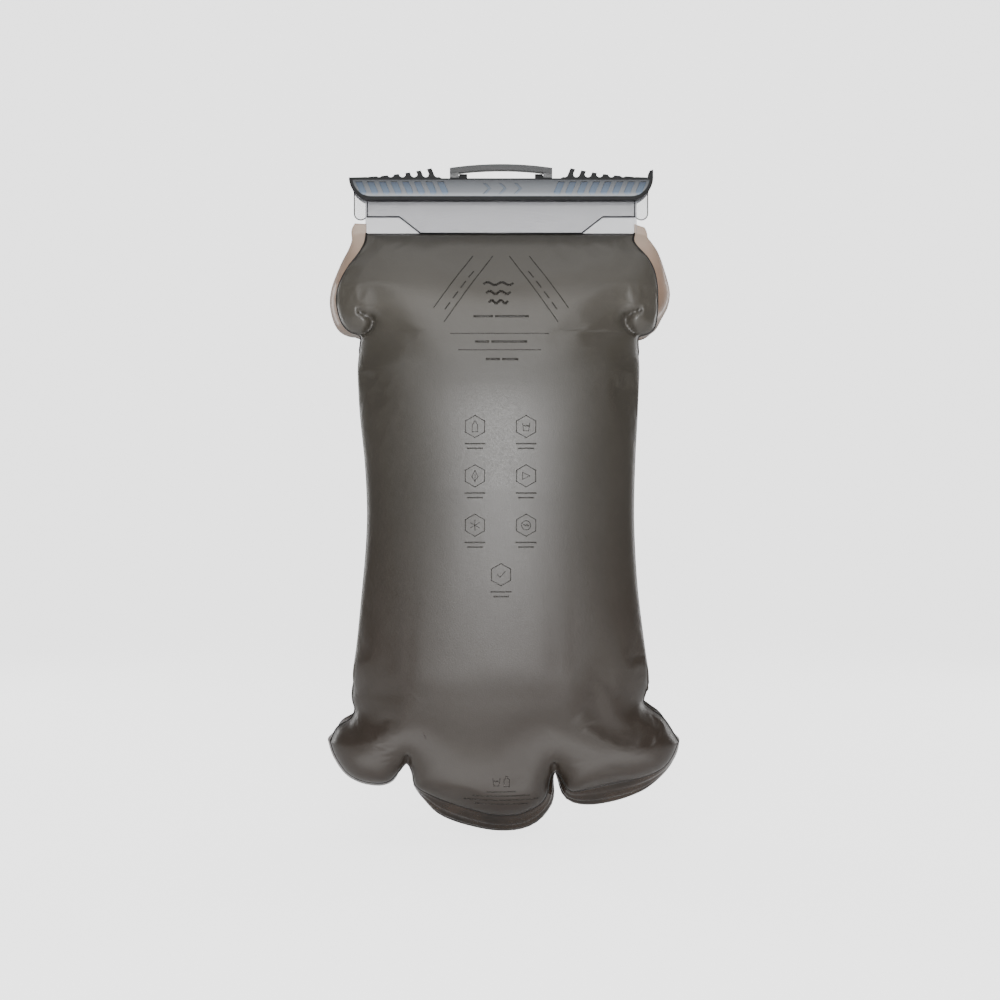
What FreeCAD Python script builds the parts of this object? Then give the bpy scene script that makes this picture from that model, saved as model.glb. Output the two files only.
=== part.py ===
import FreeCAD, Part
import math
import os
import Sketcher
from FreeCAD import Placement, Rotation, Vector

# Hydration bladder: a welded film bag whose mouth is shut by a slide closure that carries a folding hanger,
# with a valved quick-release hose port low on its back.  Millimetres.  X is to the right, the front faces -Y
# and Z is up.  The origin is the middle of the hanger bar's underside, where the bladder hangs from a hook.

SIZES = [
    # slide closure: a C-shaped channel, open below, that slides along the two lip rails
    ("closure_length", 177.0),
    ("closure_depth", 17.0),
    ("closure_height", 12.5),
    ("closure_wall", 2.0),
    ("roof_thickness", 1.8),
    ("hook_height", 1.8),
    ("film_slot", 4.8),
    ("closure_corner", 13.0),
    ("end_wall", 1.8),
    ("end_wall_rise", 5.0),
    ("end_clearance", 0.5),
    ("rail_clearance", 0.3),
    # slanted finger grips: recesses in the walls, and teeth that climb towards the hanger
    ("grip_count", 8),
    ("grip_pitch", 6.8),
    ("grip_width", 3.9),
    ("grip_slant", 23.0),
    ("grip_inner", 35.2),
    ("grip_roof_margin", 1.9),
    ("grip_foot_margin", 2.5),
    ("grip_recess", 0.8),
    ("crest_low", 0.5),
    ("crest_high", 6.2),
    ("crest_bow", 230.0),
    ("crest_inner", 37.0),
    ("crest_step", 4.0),
    ("crest_step_run", 1.6),
    ("crest_flat", 2.0),
    ("crest_foot", 31.5),
    ("saddle_radius", 5.0),
    ("notch_floor", 0.3),
    ("chevron_count", 3),
    ("chevron_pitch", 9.0),
    ("chevron_rise", 3.2),
    ("chevron_run", 3.0),
    ("chevron_line", 1.8),
    ("chevron_recess", 0.5),
    # hanger: an arched bar on two arms, whose pins turn in two posts on the closure's roof
    ("hanger_gap", 6.2),
    ("hanger_length", 60.0),
    ("bar_depth", 5.0),
    ("bar_thickness", 3.4),
    ("bar_rise", 2.2),
    ("arm_width", 5.2),
    ("arm_radius", 1.9),
    ("arm_gap", 0.3),
    ("post_width", 4.6),
    ("post_depth", 4.4),
    ("post_radius", 2.0),
    ("pivot_height", 2.2),
    ("pin_radius", 0.9),
    ("pin_clearance", 0.1),
    ("pin_end_gap", 0.6),
    # mouth: clear collar films, their lip rails and the stiffener plates behind them
    ("mouth_inset", 8.9),
    ("collar_film", 1.0),
    ("mouth_drop", 37.0),
    ("rail_web", 1.6),
    ("rail_foot", 3.0),
    ("stiffener", 0.8),
    ("stiffener_drop", 27.3),
    ("tongue_inset", 20.0),
    ("tongue_slope", 12.5),
    ("tab_width", 7.6),
    ("tab_drop", 28.8),
    # bag: elliptical sections, each with its drop below the mouth, how much wider than the mouth it is, and
    # its depth; only the foot is narrower than the mouth
    ("film", 0.8),
    ("mouth_depth", 2.8),
    ("neck_drop", 5.0),
    ("neck_flare", 1.3),
    ("neck_depth", 16.0),
    ("ear_drop", 32.0),
    ("ear_flare", 38.8),
    ("ear_depth", 48.0),
    ("pinch_drop", 58.3),
    ("pinch_flare", 1.8),
    ("pinch_depth", 68.0),
    ("chest_drop", 90.0),
    ("chest_flare", 4.8),
    ("chest_depth", 80.0),
    ("belly_drop", 150.0),
    ("belly_flare", 7.8),
    ("belly_depth", 84.0),
    ("hip_drop", 255.0),
    ("hip_flare", 12.8),
    ("tuck_drop", 271.8),
    ("tuck_flare", 2.8),
    ("corner_drop", 297.0),
    ("corner_flare", 45.8),
    ("corner_depth", 68.0),
    ("heel_drop", 318.0),
    ("heel_flare", 24.8),
    ("heel_depth", 50.0),
    ("foot_drop", 349.0),
    ("foot_taper", 75.2),
    ("foot_depth", 16.0),
    ("gusset_width", 24.0),
    ("gusset_inset", 18.0),
    # hose port: a welded flange, a quick-release socket and its shut-off valve, on one axis along +Y
    ("port_drop", 236.0),
    ("flange_radius", 18.0),
    ("flange_thickness", 1.8),
    ("flange_boss", 3.2),
    ("flange_boss_radius", 11.5),
    ("flange_neck", 6.0),
    ("flange_bore_radius", 8.2),
    ("film_hole_clearance", 0.3),
    ("socket_radius", 10.5),
    ("socket_length", 15.0),
    ("socket_bore_radius", 5.0),
    ("lead_in_radius", 5.6),
    ("seat_radius", 3.4),
    ("seat_thickness", 2.0),
    ("seat_depth", 14.5),
    ("chamber_radius", 6.0),
    ("ring_inset", 0.18),
    ("ring_section", 0.65),
    ("ring_clearance", 0.1),
    ("ring_depth", 10.9),
    # release button: a ring plate that latches the hose's groove, and its thumb pad
    ("latch_thickness", 2.0),
    ("latch_depth", 4.2),
    ("latch_clearance", 0.2),
    ("latch_eye_radius", 5.9),
    ("latch_rim", 1.9),
    ("latch_offset", 1.6),
    ("button_travel", 1.8),
    ("pad_width", 15.0),
    ("pad_thickness", 2.4),
    ("pad_overhang", 6.4),
    ("pad_lip", 1.0),
    ("button_spring_radius", 1.2),
    ("button_spring_wire", 0.35),
    ("button_spring_turns", 4),
    ("button_spring_inset", 3.7),
    ("spring_pocket_radius", 1.8),
    ("spring_pocket_depth", 3.0),
    # shut-off valve: a sprung poppet that the hose's end pushes off its seat
    ("poppet_radius", 4.8),
    ("poppet_thickness", 1.2),
    ("poppet_boss_radius", 3.3),
    ("poppet_travel", 3.0),
    ("poppet_ring_section", 0.55),
    ("stem_recess", 0.3),
    ("push_stem_radius", 1.6),
    ("guide_stem_radius", 1.3),
    ("stem_clearance", 0.1),
    ("stem_tail", 0.6),
    ("seal_gap", 0.05),
    ("cage_thickness", 1.5),
    ("cage_hole_radius", 1.1),
    ("cage_hole_circle", 3.9),
    ("cage_hole_count", 5),
    ("valve_spring_radius", 2.4),
    ("valve_spring_wire", 0.5),
    ("valve_spring_turns", 3),
]

doc = FreeCAD.newDocument("hydration_bladder")
sizes = doc.addObject("Spreadsheet::Sheet", "sizes")
for row, (alias, number) in enumerate(SIZES, 1):
    sizes.set(f"A{row}", alias)
    sizes.set(f"B{row}", str(number))
    sizes.setAlias(f"B{row}", alias)
doc.recompute()

FAR = "(sizes.closure_length + sizes.belly_depth)"    # reaches past the whole bag from its middle planes
PAST = "1"              # how far a cutting tool runs past what it cuts
BELOW = "10"            # how far the bag's cutting tools run below its foot
HAIR = "0.01"           # half the width that the gusset ribbon starts from at the mouth
HALF_ROUND = "1.0001"   # an end arc's radius over half its strip's width, so that the arc always closes
SHALLOW_ROUND = "1.02"  # the same for the grips' feet, which are a little flatter than a half circle
LINK_SHARE = "0.35"     # a spring's link: its radius over the wire's thickness


def value(formula):
    """The number that a formula in the sheet's names has now."""
    result = sizes.evalExpression(formula)
    return float(getattr(result, "Value", result))


def size(name):
    return f"sizes.{name}"


def bind(thing, **formulas):
    """Ties each property to a formula; a double underscore stands for a dot."""
    for name, formula in formulas.items():
        thing.setExpression(name.replace("__", "."), formula)


def place(thing, x="0", y="0", z="0"):
    bind(thing, Placement__Base__x=x, Placement__Base__y=y, Placement__Base__z=z)


def primitive(kind, name, **formulas):
    thing = doc.addObject(f"Part::{kind}", name)
    bind(thing, **formulas)
    return thing


def combine(kind, name, *things):
    result = doc.addObject(f"Part::{kind}", name)
    if kind in ("MultiFuse", "MultiCommon"):
        result.Shapes = list(things)
    else:
        result.Base, result.Tool = things
    return result


def origin_part(body, role):
    return next(part for part in body.Origin.OriginFeatures if part.Role == role)


def new_body(name):
    return doc.addObject("PartDesign::Body", name)


def outline(body, name, plane, *loops):
    """A sketch of closed loops.  A corner is (x, y), or (x, y, radius, side) where an arc leaves it, with the
    arc's centre on the left (side 1) or the right (side -1) of the way to the next corner."""
    sketch = body.newObject("Sketcher::SketchObject", name)
    sketch.AttachmentSupport = (origin_part(body, plane), "")
    sketch.MapMode = "FlatFace"
    for loop in loops:
        spots = [Vector(value(corner[0]), value(corner[1]), 0) for corner in loop]
        first = sketch.GeometryCount
        for index, corner in enumerate(loop):
            start = spots[index]
            end = spots[(index + 1) % len(loop)]
            if len(corner) == 2:
                sketch.addGeometry(Part.LineSegment(start, end), False)
            else:
                sketch.addGeometry(arc_between(start, end, value(corner[2]), corner[3]), False)
        tie_corners(sketch, loop, spots, first)
    return sketch


def arc_between(start, end, radius, side):
    """The short arc of this radius from start to end."""
    chord = end - start
    height = math.sqrt(max(radius ** 2 - chord.Length ** 2 / 4, 0))
    left = Vector(-chord.y, chord.x, 0).normalize()
    middle = (start + end) / 2
    centre = middle + left * (height * side)
    crown = middle - left * (radius * side)
    if height > 1e-6:
        crown = centre + (middle - centre).normalize() * radius
    return Part.Arc(start, crown, end)


def starts_at(sketch, index, spot):
    """The number of a curve's end (1 or 2) that lies at the spot."""
    return 1 if (sketch.getPoint(index, 1) - spot).Length < 1e-6 else 2


def tie_corners(sketch, loop, spots, first):
    """Joins a loop's curves end to end and binds each corner, and each arc's radius, to its formula."""
    for index, corner in enumerate(loop):
        curve = first + index
        previous = first + (index - 1) % len(loop)
        here = starts_at(sketch, curve, spots[index])
        there = starts_at(sketch, previous, spots[index])
        sketch.addConstraint(Sketcher.Constraint("Coincident", previous, there, curve, here))
        for axis, formula in (("DistanceX", corner[0]), ("DistanceY", corner[1])):
            number = sketch.addConstraint(Sketcher.Constraint(axis, -1, 1, curve, here, value(formula)))
            sketch.setExpression(f"Constraints[{number}]", formula)
        if len(corner) > 2:
            number = sketch.addConstraint(Sketcher.Constraint("Radius", curve, value(corner[2])))
            sketch.setExpression(f"Constraints[{number}]", corner[2])


def circles(body, name, plane, *rings):
    """A sketch of circles, each (x, y, radius)."""
    sketch = body.newObject("Sketcher::SketchObject", name)
    sketch.AttachmentSupport = (origin_part(body, plane), "")
    sketch.MapMode = "FlatFace"
    for index, (x, y, radius) in enumerate(rings):
        middle = Vector(value(x), value(y), 0)
        sketch.addGeometry(Part.Circle(middle, Vector(0, 0, 1), value(radius)), False)
        for kind, spot, formula in (("DistanceX", 3, x), ("DistanceY", 3, y)):
            number = sketch.addConstraint(Sketcher.Constraint(kind, -1, 1, index, spot, value(formula)))
            sketch.setExpression(f"Constraints[{number}]", formula)
        number = sketch.addConstraint(Sketcher.Constraint("Radius", index, value(radius)))
        sketch.setExpression(f"Constraints[{number}]", radius)
    return sketch


def offset_sketch(sketch, formula):
    """Moves a sketch along its plane's own normal."""
    bind(sketch, AttachmentOffset__Base__z=formula)
    return sketch


def extrude(body, kind, sketch, length, reverse=False, both_ways=False):
    """Pads or pockets a sketch; both_ways spreads the length evenly about the sketch's plane."""
    feature = body.newObject(f"PartDesign::{kind}", f"{sketch.Name}_{kind.lower()}")
    feature.Profile = sketch
    bind(feature, Length=length)
    feature.Reversed = reverse
    feature.SideType = "Symmetric" if both_ways else "One side"
    sketch.Visibility = False
    body.Tip = feature
    return feature


def spread(body, name, feature, *moves):
    """Repeats a feature by patterns and mirrors, applied one after another."""
    result = body.newObject("PartDesign::MultiTransform", name)
    result.Originals = [feature]
    result.Transformations = list(moves)
    body.Tip = result
    return result


def mirror_move(body, name, plane):
    move = doc.addObject("PartDesign::Mirrored", name)
    body.addObject(move)
    move.MirrorPlane = (origin_part(body, plane), [""])
    return move


def row_move(body, name, count, pitch, reverse):
    move = doc.addObject("PartDesign::LinearPattern", name)
    body.addObject(move)
    move.Direction = (origin_part(body, "X_Axis"), [""])
    move.Mode = "Spacing"
    move.Reversed = reverse
    bind(move, Occurrences=count, Offset=pitch)
    return move


# ---- shared heights and half widths -------------------------------------------------------------------------

ROOF = "(-sizes.hanger_gap)"
ROOT = "(-sizes.hanger_gap - sizes.roof_thickness / 2)"
CLOSURE_FOOT = "(-sizes.hanger_gap - sizes.closure_height)"
HALF_LENGTH = "(sizes.closure_length / 2)"
HALF_DEPTH = "(sizes.closure_depth / 2)"
CAVITY = "(sizes.closure_depth / 2 - sizes.closure_wall)"
HALF_SLOT = "(sizes.film_slot / 2)"
HOOK_TOP = "(-sizes.hanger_gap - sizes.closure_height + sizes.hook_height)"
CEILING = "(-sizes.hanger_gap - sizes.roof_thickness)"
RAIL_TOP = f"({CEILING} - sizes.rail_clearance)"
RAIL_FOOT = f"({HOOK_TOP} + sizes.rail_clearance)"
MOUTH_HALF = "(sizes.closure_length / 2 - sizes.mouth_inset)"
MOUTH = "(-sizes.mouth_drop)"
TAB_OUTER = "(sizes.closure_length / 2 - sizes.end_wall - sizes.end_clearance)"
TAB_INNER = f"({TAB_OUTER} - sizes.tab_width)"
RAIL_HALF = f"({TAB_INNER} - sizes.rail_clearance)"
PIVOT = "(-sizes.hanger_gap + sizes.pivot_height)"
POST_OUTER = "(sizes.hanger_length / 2 - sizes.arm_width - sizes.arm_gap)"
POST_INNER = f"({POST_OUTER} - sizes.post_width)"
SLANT = "tan(sizes.grip_slant * 1deg)"
GRIP_TOP = f"({ROOF} - sizes.grip_roof_margin)"
GRIP_FOOT = f"({CLOSURE_FOOT} + sizes.grip_foot_margin)"
BACK = "(sizes.belly_depth / 2)"
PORT_HEIGHT = "(-sizes.mouth_drop - sizes.port_drop)"


# ---- slide closure and hanger -------------------------------------------------------------------------------

def slanted(x, z):
    """A point's X once the grips' slant is added, measured from the grips' top line."""
    return f"({x} + ({GRIP_TOP} - {z}) * {SLANT})"


def slanted_slot(body, name, top, foot):
    """A slanted strip with a round foot, at the innermost grip of the left-hand group."""
    left = "(-sizes.grip_inner - sizes.grip_width / 2)"
    right = "(-sizes.grip_inner + sizes.grip_width / 2)"
    shoulder = f"({foot} + sizes.grip_width / 2)"
    radius = f"(sizes.grip_width / 2 * {SHALLOW_ROUND})"
    return outline(body, name, "XZ_Plane", [
        (slanted(left, top), top),
        (slanted(left, shoulder), shoulder, radius, 1),
        (slanted(right, shoulder), shoulder),
        (slanted(right, top), top)])


def make_slide_closure():
    body = new_body("slide_closure")
    channel = outline(body, "channel_section", "YZ_Plane", [
        (f"-{HALF_DEPTH}", CLOSURE_FOOT),
        (f"-{HALF_SLOT}", CLOSURE_FOOT),
        (f"-{HALF_SLOT}", HOOK_TOP),
        (f"-{CAVITY}", HOOK_TOP),
        (f"-{CAVITY}", CEILING),
        (CAVITY, CEILING),
        (CAVITY, HOOK_TOP),
        (HALF_SLOT, HOOK_TOP),
        (HALF_SLOT, CLOSURE_FOOT),
        (HALF_DEPTH, CLOSURE_FOOT),
        (HALF_DEPTH, ROOF),
        (f"-{HALF_DEPTH}", ROOF)])
    extrude(body, "Pad", channel, size("closure_length"), both_ways=True)
    wall_inside = f"({HALF_LENGTH} - sizes.end_wall)"
    end_top = f"({ROOF} + sizes.end_wall_rise)"
    end = outline(body, "end_wall_outline", "XZ_Plane", [
        (wall_inside, CLOSURE_FOOT),
        (HALF_LENGTH, CLOSURE_FOOT),
        (HALF_LENGTH, end_top),
        (wall_inside, end_top)])
    extrude(body, "Pad", end, size("closure_depth"), both_ways=True)
    add_crests(body)
    corner_start = f"({HALF_LENGTH} - sizes.closure_corner)"
    corner_end = f"({CLOSURE_FOOT} + sizes.closure_corner)"
    corner = outline(body, "corner_cut", "XZ_Plane", [
        (corner_start, CLOSURE_FOOT, size("closure_corner"), 1),
        (HALF_LENGTH, corner_end),
        (f"({HALF_LENGTH} + {PAST})", corner_end),
        (f"({HALF_LENGTH} + {PAST})", f"({CLOSURE_FOOT} - {PAST})"),
        (corner_start, f"({CLOSURE_FOOT} - {PAST})")])
    cut = extrude(body, "Pocket", corner, f"sizes.closure_depth + 2 * {PAST}", both_ways=True)
    spread(body, "both_corners", cut, mirror_move(body, "corner_mirror", "YZ_Plane"))
    add_grips(body)
    add_chevrons(body)
    add_posts(body)
    return body


def add_crests(body):
    """The four toothed crests before their notches are cut, flush with the closure's walls."""
    high = f"({ROOF} + sizes.crest_high)"
    step = f"({ROOF} + sizes.crest_step)"
    crest = outline(body, "crest_outline", "XZ_Plane", [
        (f"-{HALF_LENGTH}", ROOT),
        ("-sizes.crest_foot", ROOT),
        ("-sizes.crest_foot", ROOF, size("saddle_radius"), -1),
        (slanted("(-sizes.crest_inner + sizes.crest_step_run)", step), step),
        ("-sizes.crest_inner", high),
        ("(-sizes.crest_inner - sizes.crest_flat)", high, size("crest_bow"), -1),
        (f"-{HALF_LENGTH}", f"({ROOF} + sizes.crest_low)")])
    offset_sketch(crest, HALF_DEPTH)
    pad = extrude(body, "Pad", crest, size("closure_wall"), reverse=True)
    spread(body, "all_crests", pad, mirror_move(body, "crest_side", "YZ_Plane"),
           mirror_move(body, "crest_rear", "XZ_Plane"))


def add_grips(body):
    """Recesses in the front and rear walls, and the notches above them that leave the crests' teeth."""
    above = f"({ROOF} + sizes.crest_high + {PAST})"
    notch = slanted_slot(body, "notch_outline", above, f"({ROOF} + sizes.notch_floor)")
    recess = slanted_slot(body, "recess_outline", GRIP_TOP, GRIP_FOOT)
    cuts = [("notch", notch, size("closure_wall")), ("recess", recess, size("grip_recess"))]
    for name, sketch, depth in cuts:
        offset_sketch(sketch, HALF_DEPTH)
        cut = extrude(body, "Pocket", sketch, depth)
        spread(body, f"all_{name}es", cut,
               row_move(body, f"{name}_row", size("grip_count"), size("grip_pitch"), True),
               mirror_move(body, f"{name}_side", "YZ_Plane"),
               mirror_move(body, f"{name}_rear", "XZ_Plane"))


def add_chevrons(body):
    """Arrows pressed into the front wall, pointing the way the closure slides off."""
    middle = f"(({GRIP_TOP} + {GRIP_FOOT}) / 2)"
    start = "(-(sizes.chevron_count - 1) * sizes.chevron_pitch / 2 - sizes.chevron_run / 2)"
    chevron = outline(body, "chevron_outline", "XZ_Plane", [
        (start, f"({middle} + sizes.chevron_rise)"),
        (f"({start} + sizes.chevron_run)", middle),
        (start, f"({middle} - sizes.chevron_rise)"),
        (f"({start} + sizes.chevron_line)", f"({middle} - sizes.chevron_rise)"),
        (f"({start} + sizes.chevron_run + sizes.chevron_line)", middle),
        (f"({start} + sizes.chevron_line)", f"({middle} + sizes.chevron_rise)")])
    offset_sketch(chevron, HALF_DEPTH)
    cut = extrude(body, "Pocket", chevron, size("chevron_recess"))
    spread(body, "all_chevrons", cut,
           row_move(body, "chevron_row", size("chevron_count"), size("chevron_pitch"), False))


def add_posts(body):
    """Two posts with round heads, bored for the hanger's pins."""
    half = "(sizes.post_depth / 2)"
    reach = size("post_radius")
    post = outline(body, "post_outline", "YZ_Plane", [
        (f"-{half}", ROOT),
        (half, ROOT),
        (half, ROOF),
        (reach, PIVOT, f"({reach} * {HALF_ROUND})", 1),
        (f"-{reach}", PIVOT),
        (f"-{half}", ROOF)])
    offset_sketch(post, POST_INNER)
    pad = extrude(body, "Pad", post, size("post_width"))
    spread(body, "both_posts", pad, mirror_move(body, "post_mirror", "YZ_Plane"))
    bore = circles(body, "pivot_bore", "YZ_Plane", ("0", PIVOT, "(sizes.pin_radius + sizes.pin_clearance)"))
    extrude(body, "Pocket", bore, "sizes.hanger_length", both_ways=True)


def make_hanger():
    """An arched bar, bowed up in the middle, on two arms with inward pins."""
    body = new_body("hanger_bail")
    half = "(sizes.hanger_length / 2)"
    rise = size("bar_rise")
    low_radius = f"(({half} ^ 2 + {rise} ^ 2) / (2 * {rise}))"
    bar = outline(body, "bar_outline", "XZ_Plane", [
        (f"-{half}", f"-{rise}", low_radius, -1),
        (half, f"-{rise}"),
        (half, f"(sizes.bar_thickness - {rise})", low_radius, 1),
        (f"-{half}", f"(sizes.bar_thickness - {rise})")])
    extrude(body, "Pad", bar, size("bar_depth"), both_ways=True)
    arm_top = f"(sizes.bar_thickness / 2 - {rise})"
    reach = size("arm_radius")
    arm = outline(body, "arm_outline", "YZ_Plane", [
        (reach, PIVOT),
        ("(sizes.bar_depth / 2)", arm_top),
        ("(-sizes.bar_depth / 2)", arm_top),
        (f"-{reach}", PIVOT, f"({reach} * {HALF_ROUND})", 1)])
    offset_sketch(arm, f"({half} - sizes.arm_width)")
    pad = extrude(body, "Pad", arm, size("arm_width"))
    spread(body, "both_arms", pad, mirror_move(body, "arm_mirror", "YZ_Plane"))
    pin = circles(body, "pin_section", "YZ_Plane", ("0", PIVOT, size("pin_radius")))
    offset_sketch(pin, f"({POST_INNER} + sizes.pin_end_gap)")
    pin_pad = extrude(body, "Pad", pin, "sizes.post_width + sizes.arm_gap + sizes.arm_width / 2")
    spread(body, "both_pins", pin_pad, mirror_move(body, "pin_mirror", "YZ_Plane"))
    return body


# ---- mouth --------------------------------------------------------------------------------------------------

def make_collar(name, side):
    """A clear film from the top of its lip rail down to the bag's mouth; side is -1 in front, 1 behind."""
    collar = primitive("Box", name, Length=f"2 * {MOUTH_HALF}", Width=size("collar_film"),
                       Height=f"{RAIL_TOP} - {MOUTH}")
    place(collar, f"-{MOUTH_HALF}", "-sizes.collar_film" if side < 0 else "0", MOUTH)
    return collar


def make_rail(name, side):
    """A moulded rail of L section welded to the collar's top edge; its foot rides on the closure's hook."""
    body = new_body(name)
    sign = "-1" if side < 0 else "1"
    inner = f"({sign} * sizes.collar_film)"
    web = f"({sign} * (sizes.collar_film + sizes.rail_web))"
    outer = f"({sign} * ({CAVITY} - sizes.rail_clearance))"
    section = outline(body, f"{name}_section", "YZ_Plane", [
        (inner, RAIL_FOOT),
        (outer, RAIL_FOOT),
        (outer, f"({RAIL_FOOT} + sizes.rail_foot)"),
        (web, f"({RAIL_FOOT} + sizes.rail_foot)"),
        (web, RAIL_TOP),
        (inner, RAIL_TOP)])
    extrude(body, "Pad", section, f"2 * {RAIL_HALF}", both_ways=True)
    return body


def stiffener_outline(tabs):
    """A plate under the rail with a broad tongue down to the mouth, and round-footed end tabs if wanted."""
    plate = "(-sizes.stiffener_drop)"
    tongue = f"({MOUTH_HALF} - sizes.tongue_inset - sizes.tongue_slope)"
    shoulder = f"({MOUTH_HALF} - sizes.tongue_inset)"
    end = TAB_INNER if tabs else RAIL_HALF
    lower = [
        (end, plate),
        (shoulder, plate),
        (tongue, MOUTH),
        (f"-{tongue}", MOUTH),
        (f"-{shoulder}", plate),
        (f"-{end}", plate)]
    if not tabs:
        return lower + [(f"-{end}", RAIL_FOOT), (end, RAIL_FOOT)]
    radius = f"(sizes.tab_width / 2 * {HALF_ROUND})"
    turn = "(-sizes.tab_drop + sizes.tab_width / 2)"
    left = [
        (f"-{end}", turn, radius, -1),
        (f"-{TAB_OUTER}", turn),
        (f"-{TAB_OUTER}", RAIL_TOP),
        (f"-{end}", RAIL_TOP),
        (f"-{end}", RAIL_FOOT)]
    right = [
        (end, RAIL_FOOT),
        (end, RAIL_TOP),
        (TAB_OUTER, RAIL_TOP),
        (TAB_OUTER, turn, radius, -1),
        (end, turn)]
    return lower + left + right


def make_stiffener(name, side, tabs):
    body = new_body(name)
    sketch = outline(body, f"{name}_outline", "XZ_Plane", stiffener_outline(tabs))
    start = size("collar_film") if side < 0 else "(-sizes.collar_film - sizes.stiffener)"
    offset_sketch(sketch, start)
    extrude(body, "Pad", sketch, size("stiffener"))
    return body


# ---- bag ----------------------------------------------------------------------------------------------------

def half_width(flare):
    """Half the bag's width at a section that is this much wider than the mouth."""
    return f"({MOUTH_HALF} + {flare} / 2)"


SECTIONS = [
    # drop below the mouth, half width, half depth
    ("0", MOUTH_HALF, "sizes.mouth_depth / 2"),
    ("sizes.neck_drop", half_width("sizes.neck_flare"), "sizes.neck_depth / 2"),
    ("sizes.ear_drop", half_width("sizes.ear_flare"), "sizes.ear_depth / 2"),
    ("sizes.pinch_drop", half_width("sizes.pinch_flare"), "sizes.pinch_depth / 2"),
    ("sizes.chest_drop", half_width("sizes.chest_flare"), "sizes.chest_depth / 2"),
    ("sizes.belly_drop", half_width("sizes.belly_flare"), "sizes.belly_depth / 2"),
    ("sizes.hip_drop", half_width("sizes.hip_flare"), "sizes.belly_depth / 2"),
    ("sizes.tuck_drop", half_width("sizes.tuck_flare"), "sizes.belly_depth / 2"),
    ("sizes.corner_drop", half_width("sizes.corner_flare"), "sizes.corner_depth / 2"),
    ("sizes.heel_drop", half_width("sizes.heel_flare"), "sizes.heel_depth / 2"),
    ("sizes.foot_drop", half_width("-sizes.foot_taper"), "sizes.foot_depth / 2"),
]


BAG_FLOOR = f"({MOUTH} - sizes.foot_drop - {BELOW})"
BAG_CEILING = f"({MOUTH} + {PAST})"


def bag_body(name, inset):
    """A closed solid through the bag's sections, each drawn in by the inset and ending that much higher."""
    rings = []
    for number, (drop, half_width, half_depth) in enumerate(SECTIONS):
        ring = primitive("Ellipse", f"{name}_section_{number}",
                         MajorRadius=f"{half_width} - {inset}", MinorRadius=f"{half_depth} - {inset}")
        last = number == len(SECTIONS) - 1
        place(ring, z=f"{MOUTH} - ({drop})" + (f" + {inset}" if last else ""))
        rings.append(ring)
    loft = doc.addObject("Part::Loft", name)
    loft.Sections = rings
    loft.Solid = True
    loft.Ruled = True
    return loft


def ribbon_region():
    """The space that the gusset ribbon takes, seen from the side: nothing at the mouth, full width from the
    ears down."""
    body = new_body("ribbon_region")
    half = "(sizes.gusset_width / 2)"
    ear = f"({MOUTH} - sizes.ear_drop)"
    floor = BAG_FLOOR
    start = f"({MOUTH} + {HAIR})"
    section = outline(body, "ribbon_section", "YZ_Plane", [
        (f"-{HAIR}", start),
        (f"-{half}", ear),
        (f"-{half}", floor),
        (half, floor),
        (half, ear),
        (HAIR, start)])
    extrude(body, "Pad", section, f"2 * {FAR}", both_ways=True)
    return body


def region(name, x=(f"-{FAR}", FAR), y=(f"-{FAR}", FAR), z=(BAG_FLOOR, BAG_CEILING)):
    """A box that cuts the bag, between two formulas along each axis."""
    box = primitive("Box", name, Length=f"{x[1]} - {x[0]}", Width=f"{y[1]} - {y[0]}", Height=f"{z[1]} - {z[0]}")
    place(box, x[0], y[0], z[0])
    return box


def make_bag():
    skin = combine("Cut", "bag_skin", bag_body("bag_outside", "0"), bag_body("bag_inside", size("film")))
    ribbon_space = ribbon_region()
    ribbon = combine("Common", "gusset_ribbon", skin, ribbon_space)
    faces = combine("Cut", "bag_faces", skin, ribbon_space)
    front = combine("Common", "front_panel", faces, region("front_half", y=(f"-{FAR}", "0")))
    back = combine("Common", "back_whole", faces, region("back_half", y=("0", FAR)))
    hole = primitive("Cylinder", "port_hole", Radius="sizes.flange_boss_radius + sizes.film_hole_clearance",
                     Height=f"{BACK} + {PAST}")
    hole.Placement = Placement(Vector(0, 0, 0), Rotation(Vector(1, 0, 0), -90))
    place(hole, z=PORT_HEIGHT)
    back = combine("Cut", "back_panel", back, hole)
    heel = f"({MOUTH} - sizes.heel_drop)"
    edge = f"({MOUTH_HALF} - sizes.gusset_inset)"
    above_heel = (heel, BAG_CEILING)
    left_side = region("left_side", x=(f"-{FAR}", f"-{edge}"), z=above_heel)
    left = combine("Common", "side_gusset_left", ribbon, left_side)
    right_side = region("right_side", x=(edge, FAR), z=above_heel)
    right = combine("Common", "side_gusset_right", ribbon, right_side)
    bottom = combine("Common", "bottom_gusset", ribbon, region("below_heel", z=(BAG_FLOOR, heel)))
    return [front, back, left, right, bottom]


# ---- hose port ----------------------------------------------------------------------------------------------

SOCKET_BASE = f"({BACK} + sizes.flange_thickness + sizes.flange_boss)"
SOCKET_MOUTH = f"({SOCKET_BASE} + sizes.socket_length)"
SEAT_TOP = f"({SOCKET_MOUTH} - sizes.seat_depth)"
SEAT_FACE = f"({SEAT_TOP} - sizes.seat_thickness)"
NECK_END = f"({BACK} - sizes.flange_neck)"
LATCH_MIDDLE = f"({SOCKET_MOUTH} - sizes.latch_depth)"
RING_MIDDLE = f"({SOCKET_MOUTH} - sizes.ring_depth)"
RING_RADIUS = "(sizes.socket_bore_radius - sizes.ring_inset + sizes.ring_section)"
EYE_HEIGHT = f"({PORT_HEIGHT} + sizes.latch_offset)"
PAD_UNDERSIDE = f"({PORT_HEIGHT} + sizes.socket_radius + sizes.button_travel + sizes.rail_clearance)"
SPRING_MIDDLE = f"({LATCH_MIDDLE} - sizes.button_spring_inset)"
CAGE_FACE = f"({NECK_END} + sizes.cage_thickness)"
POPPET_FRONT = f"({SEAT_FACE} - sizes.seal_gap - 2 * sizes.poppet_ring_section)"
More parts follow.
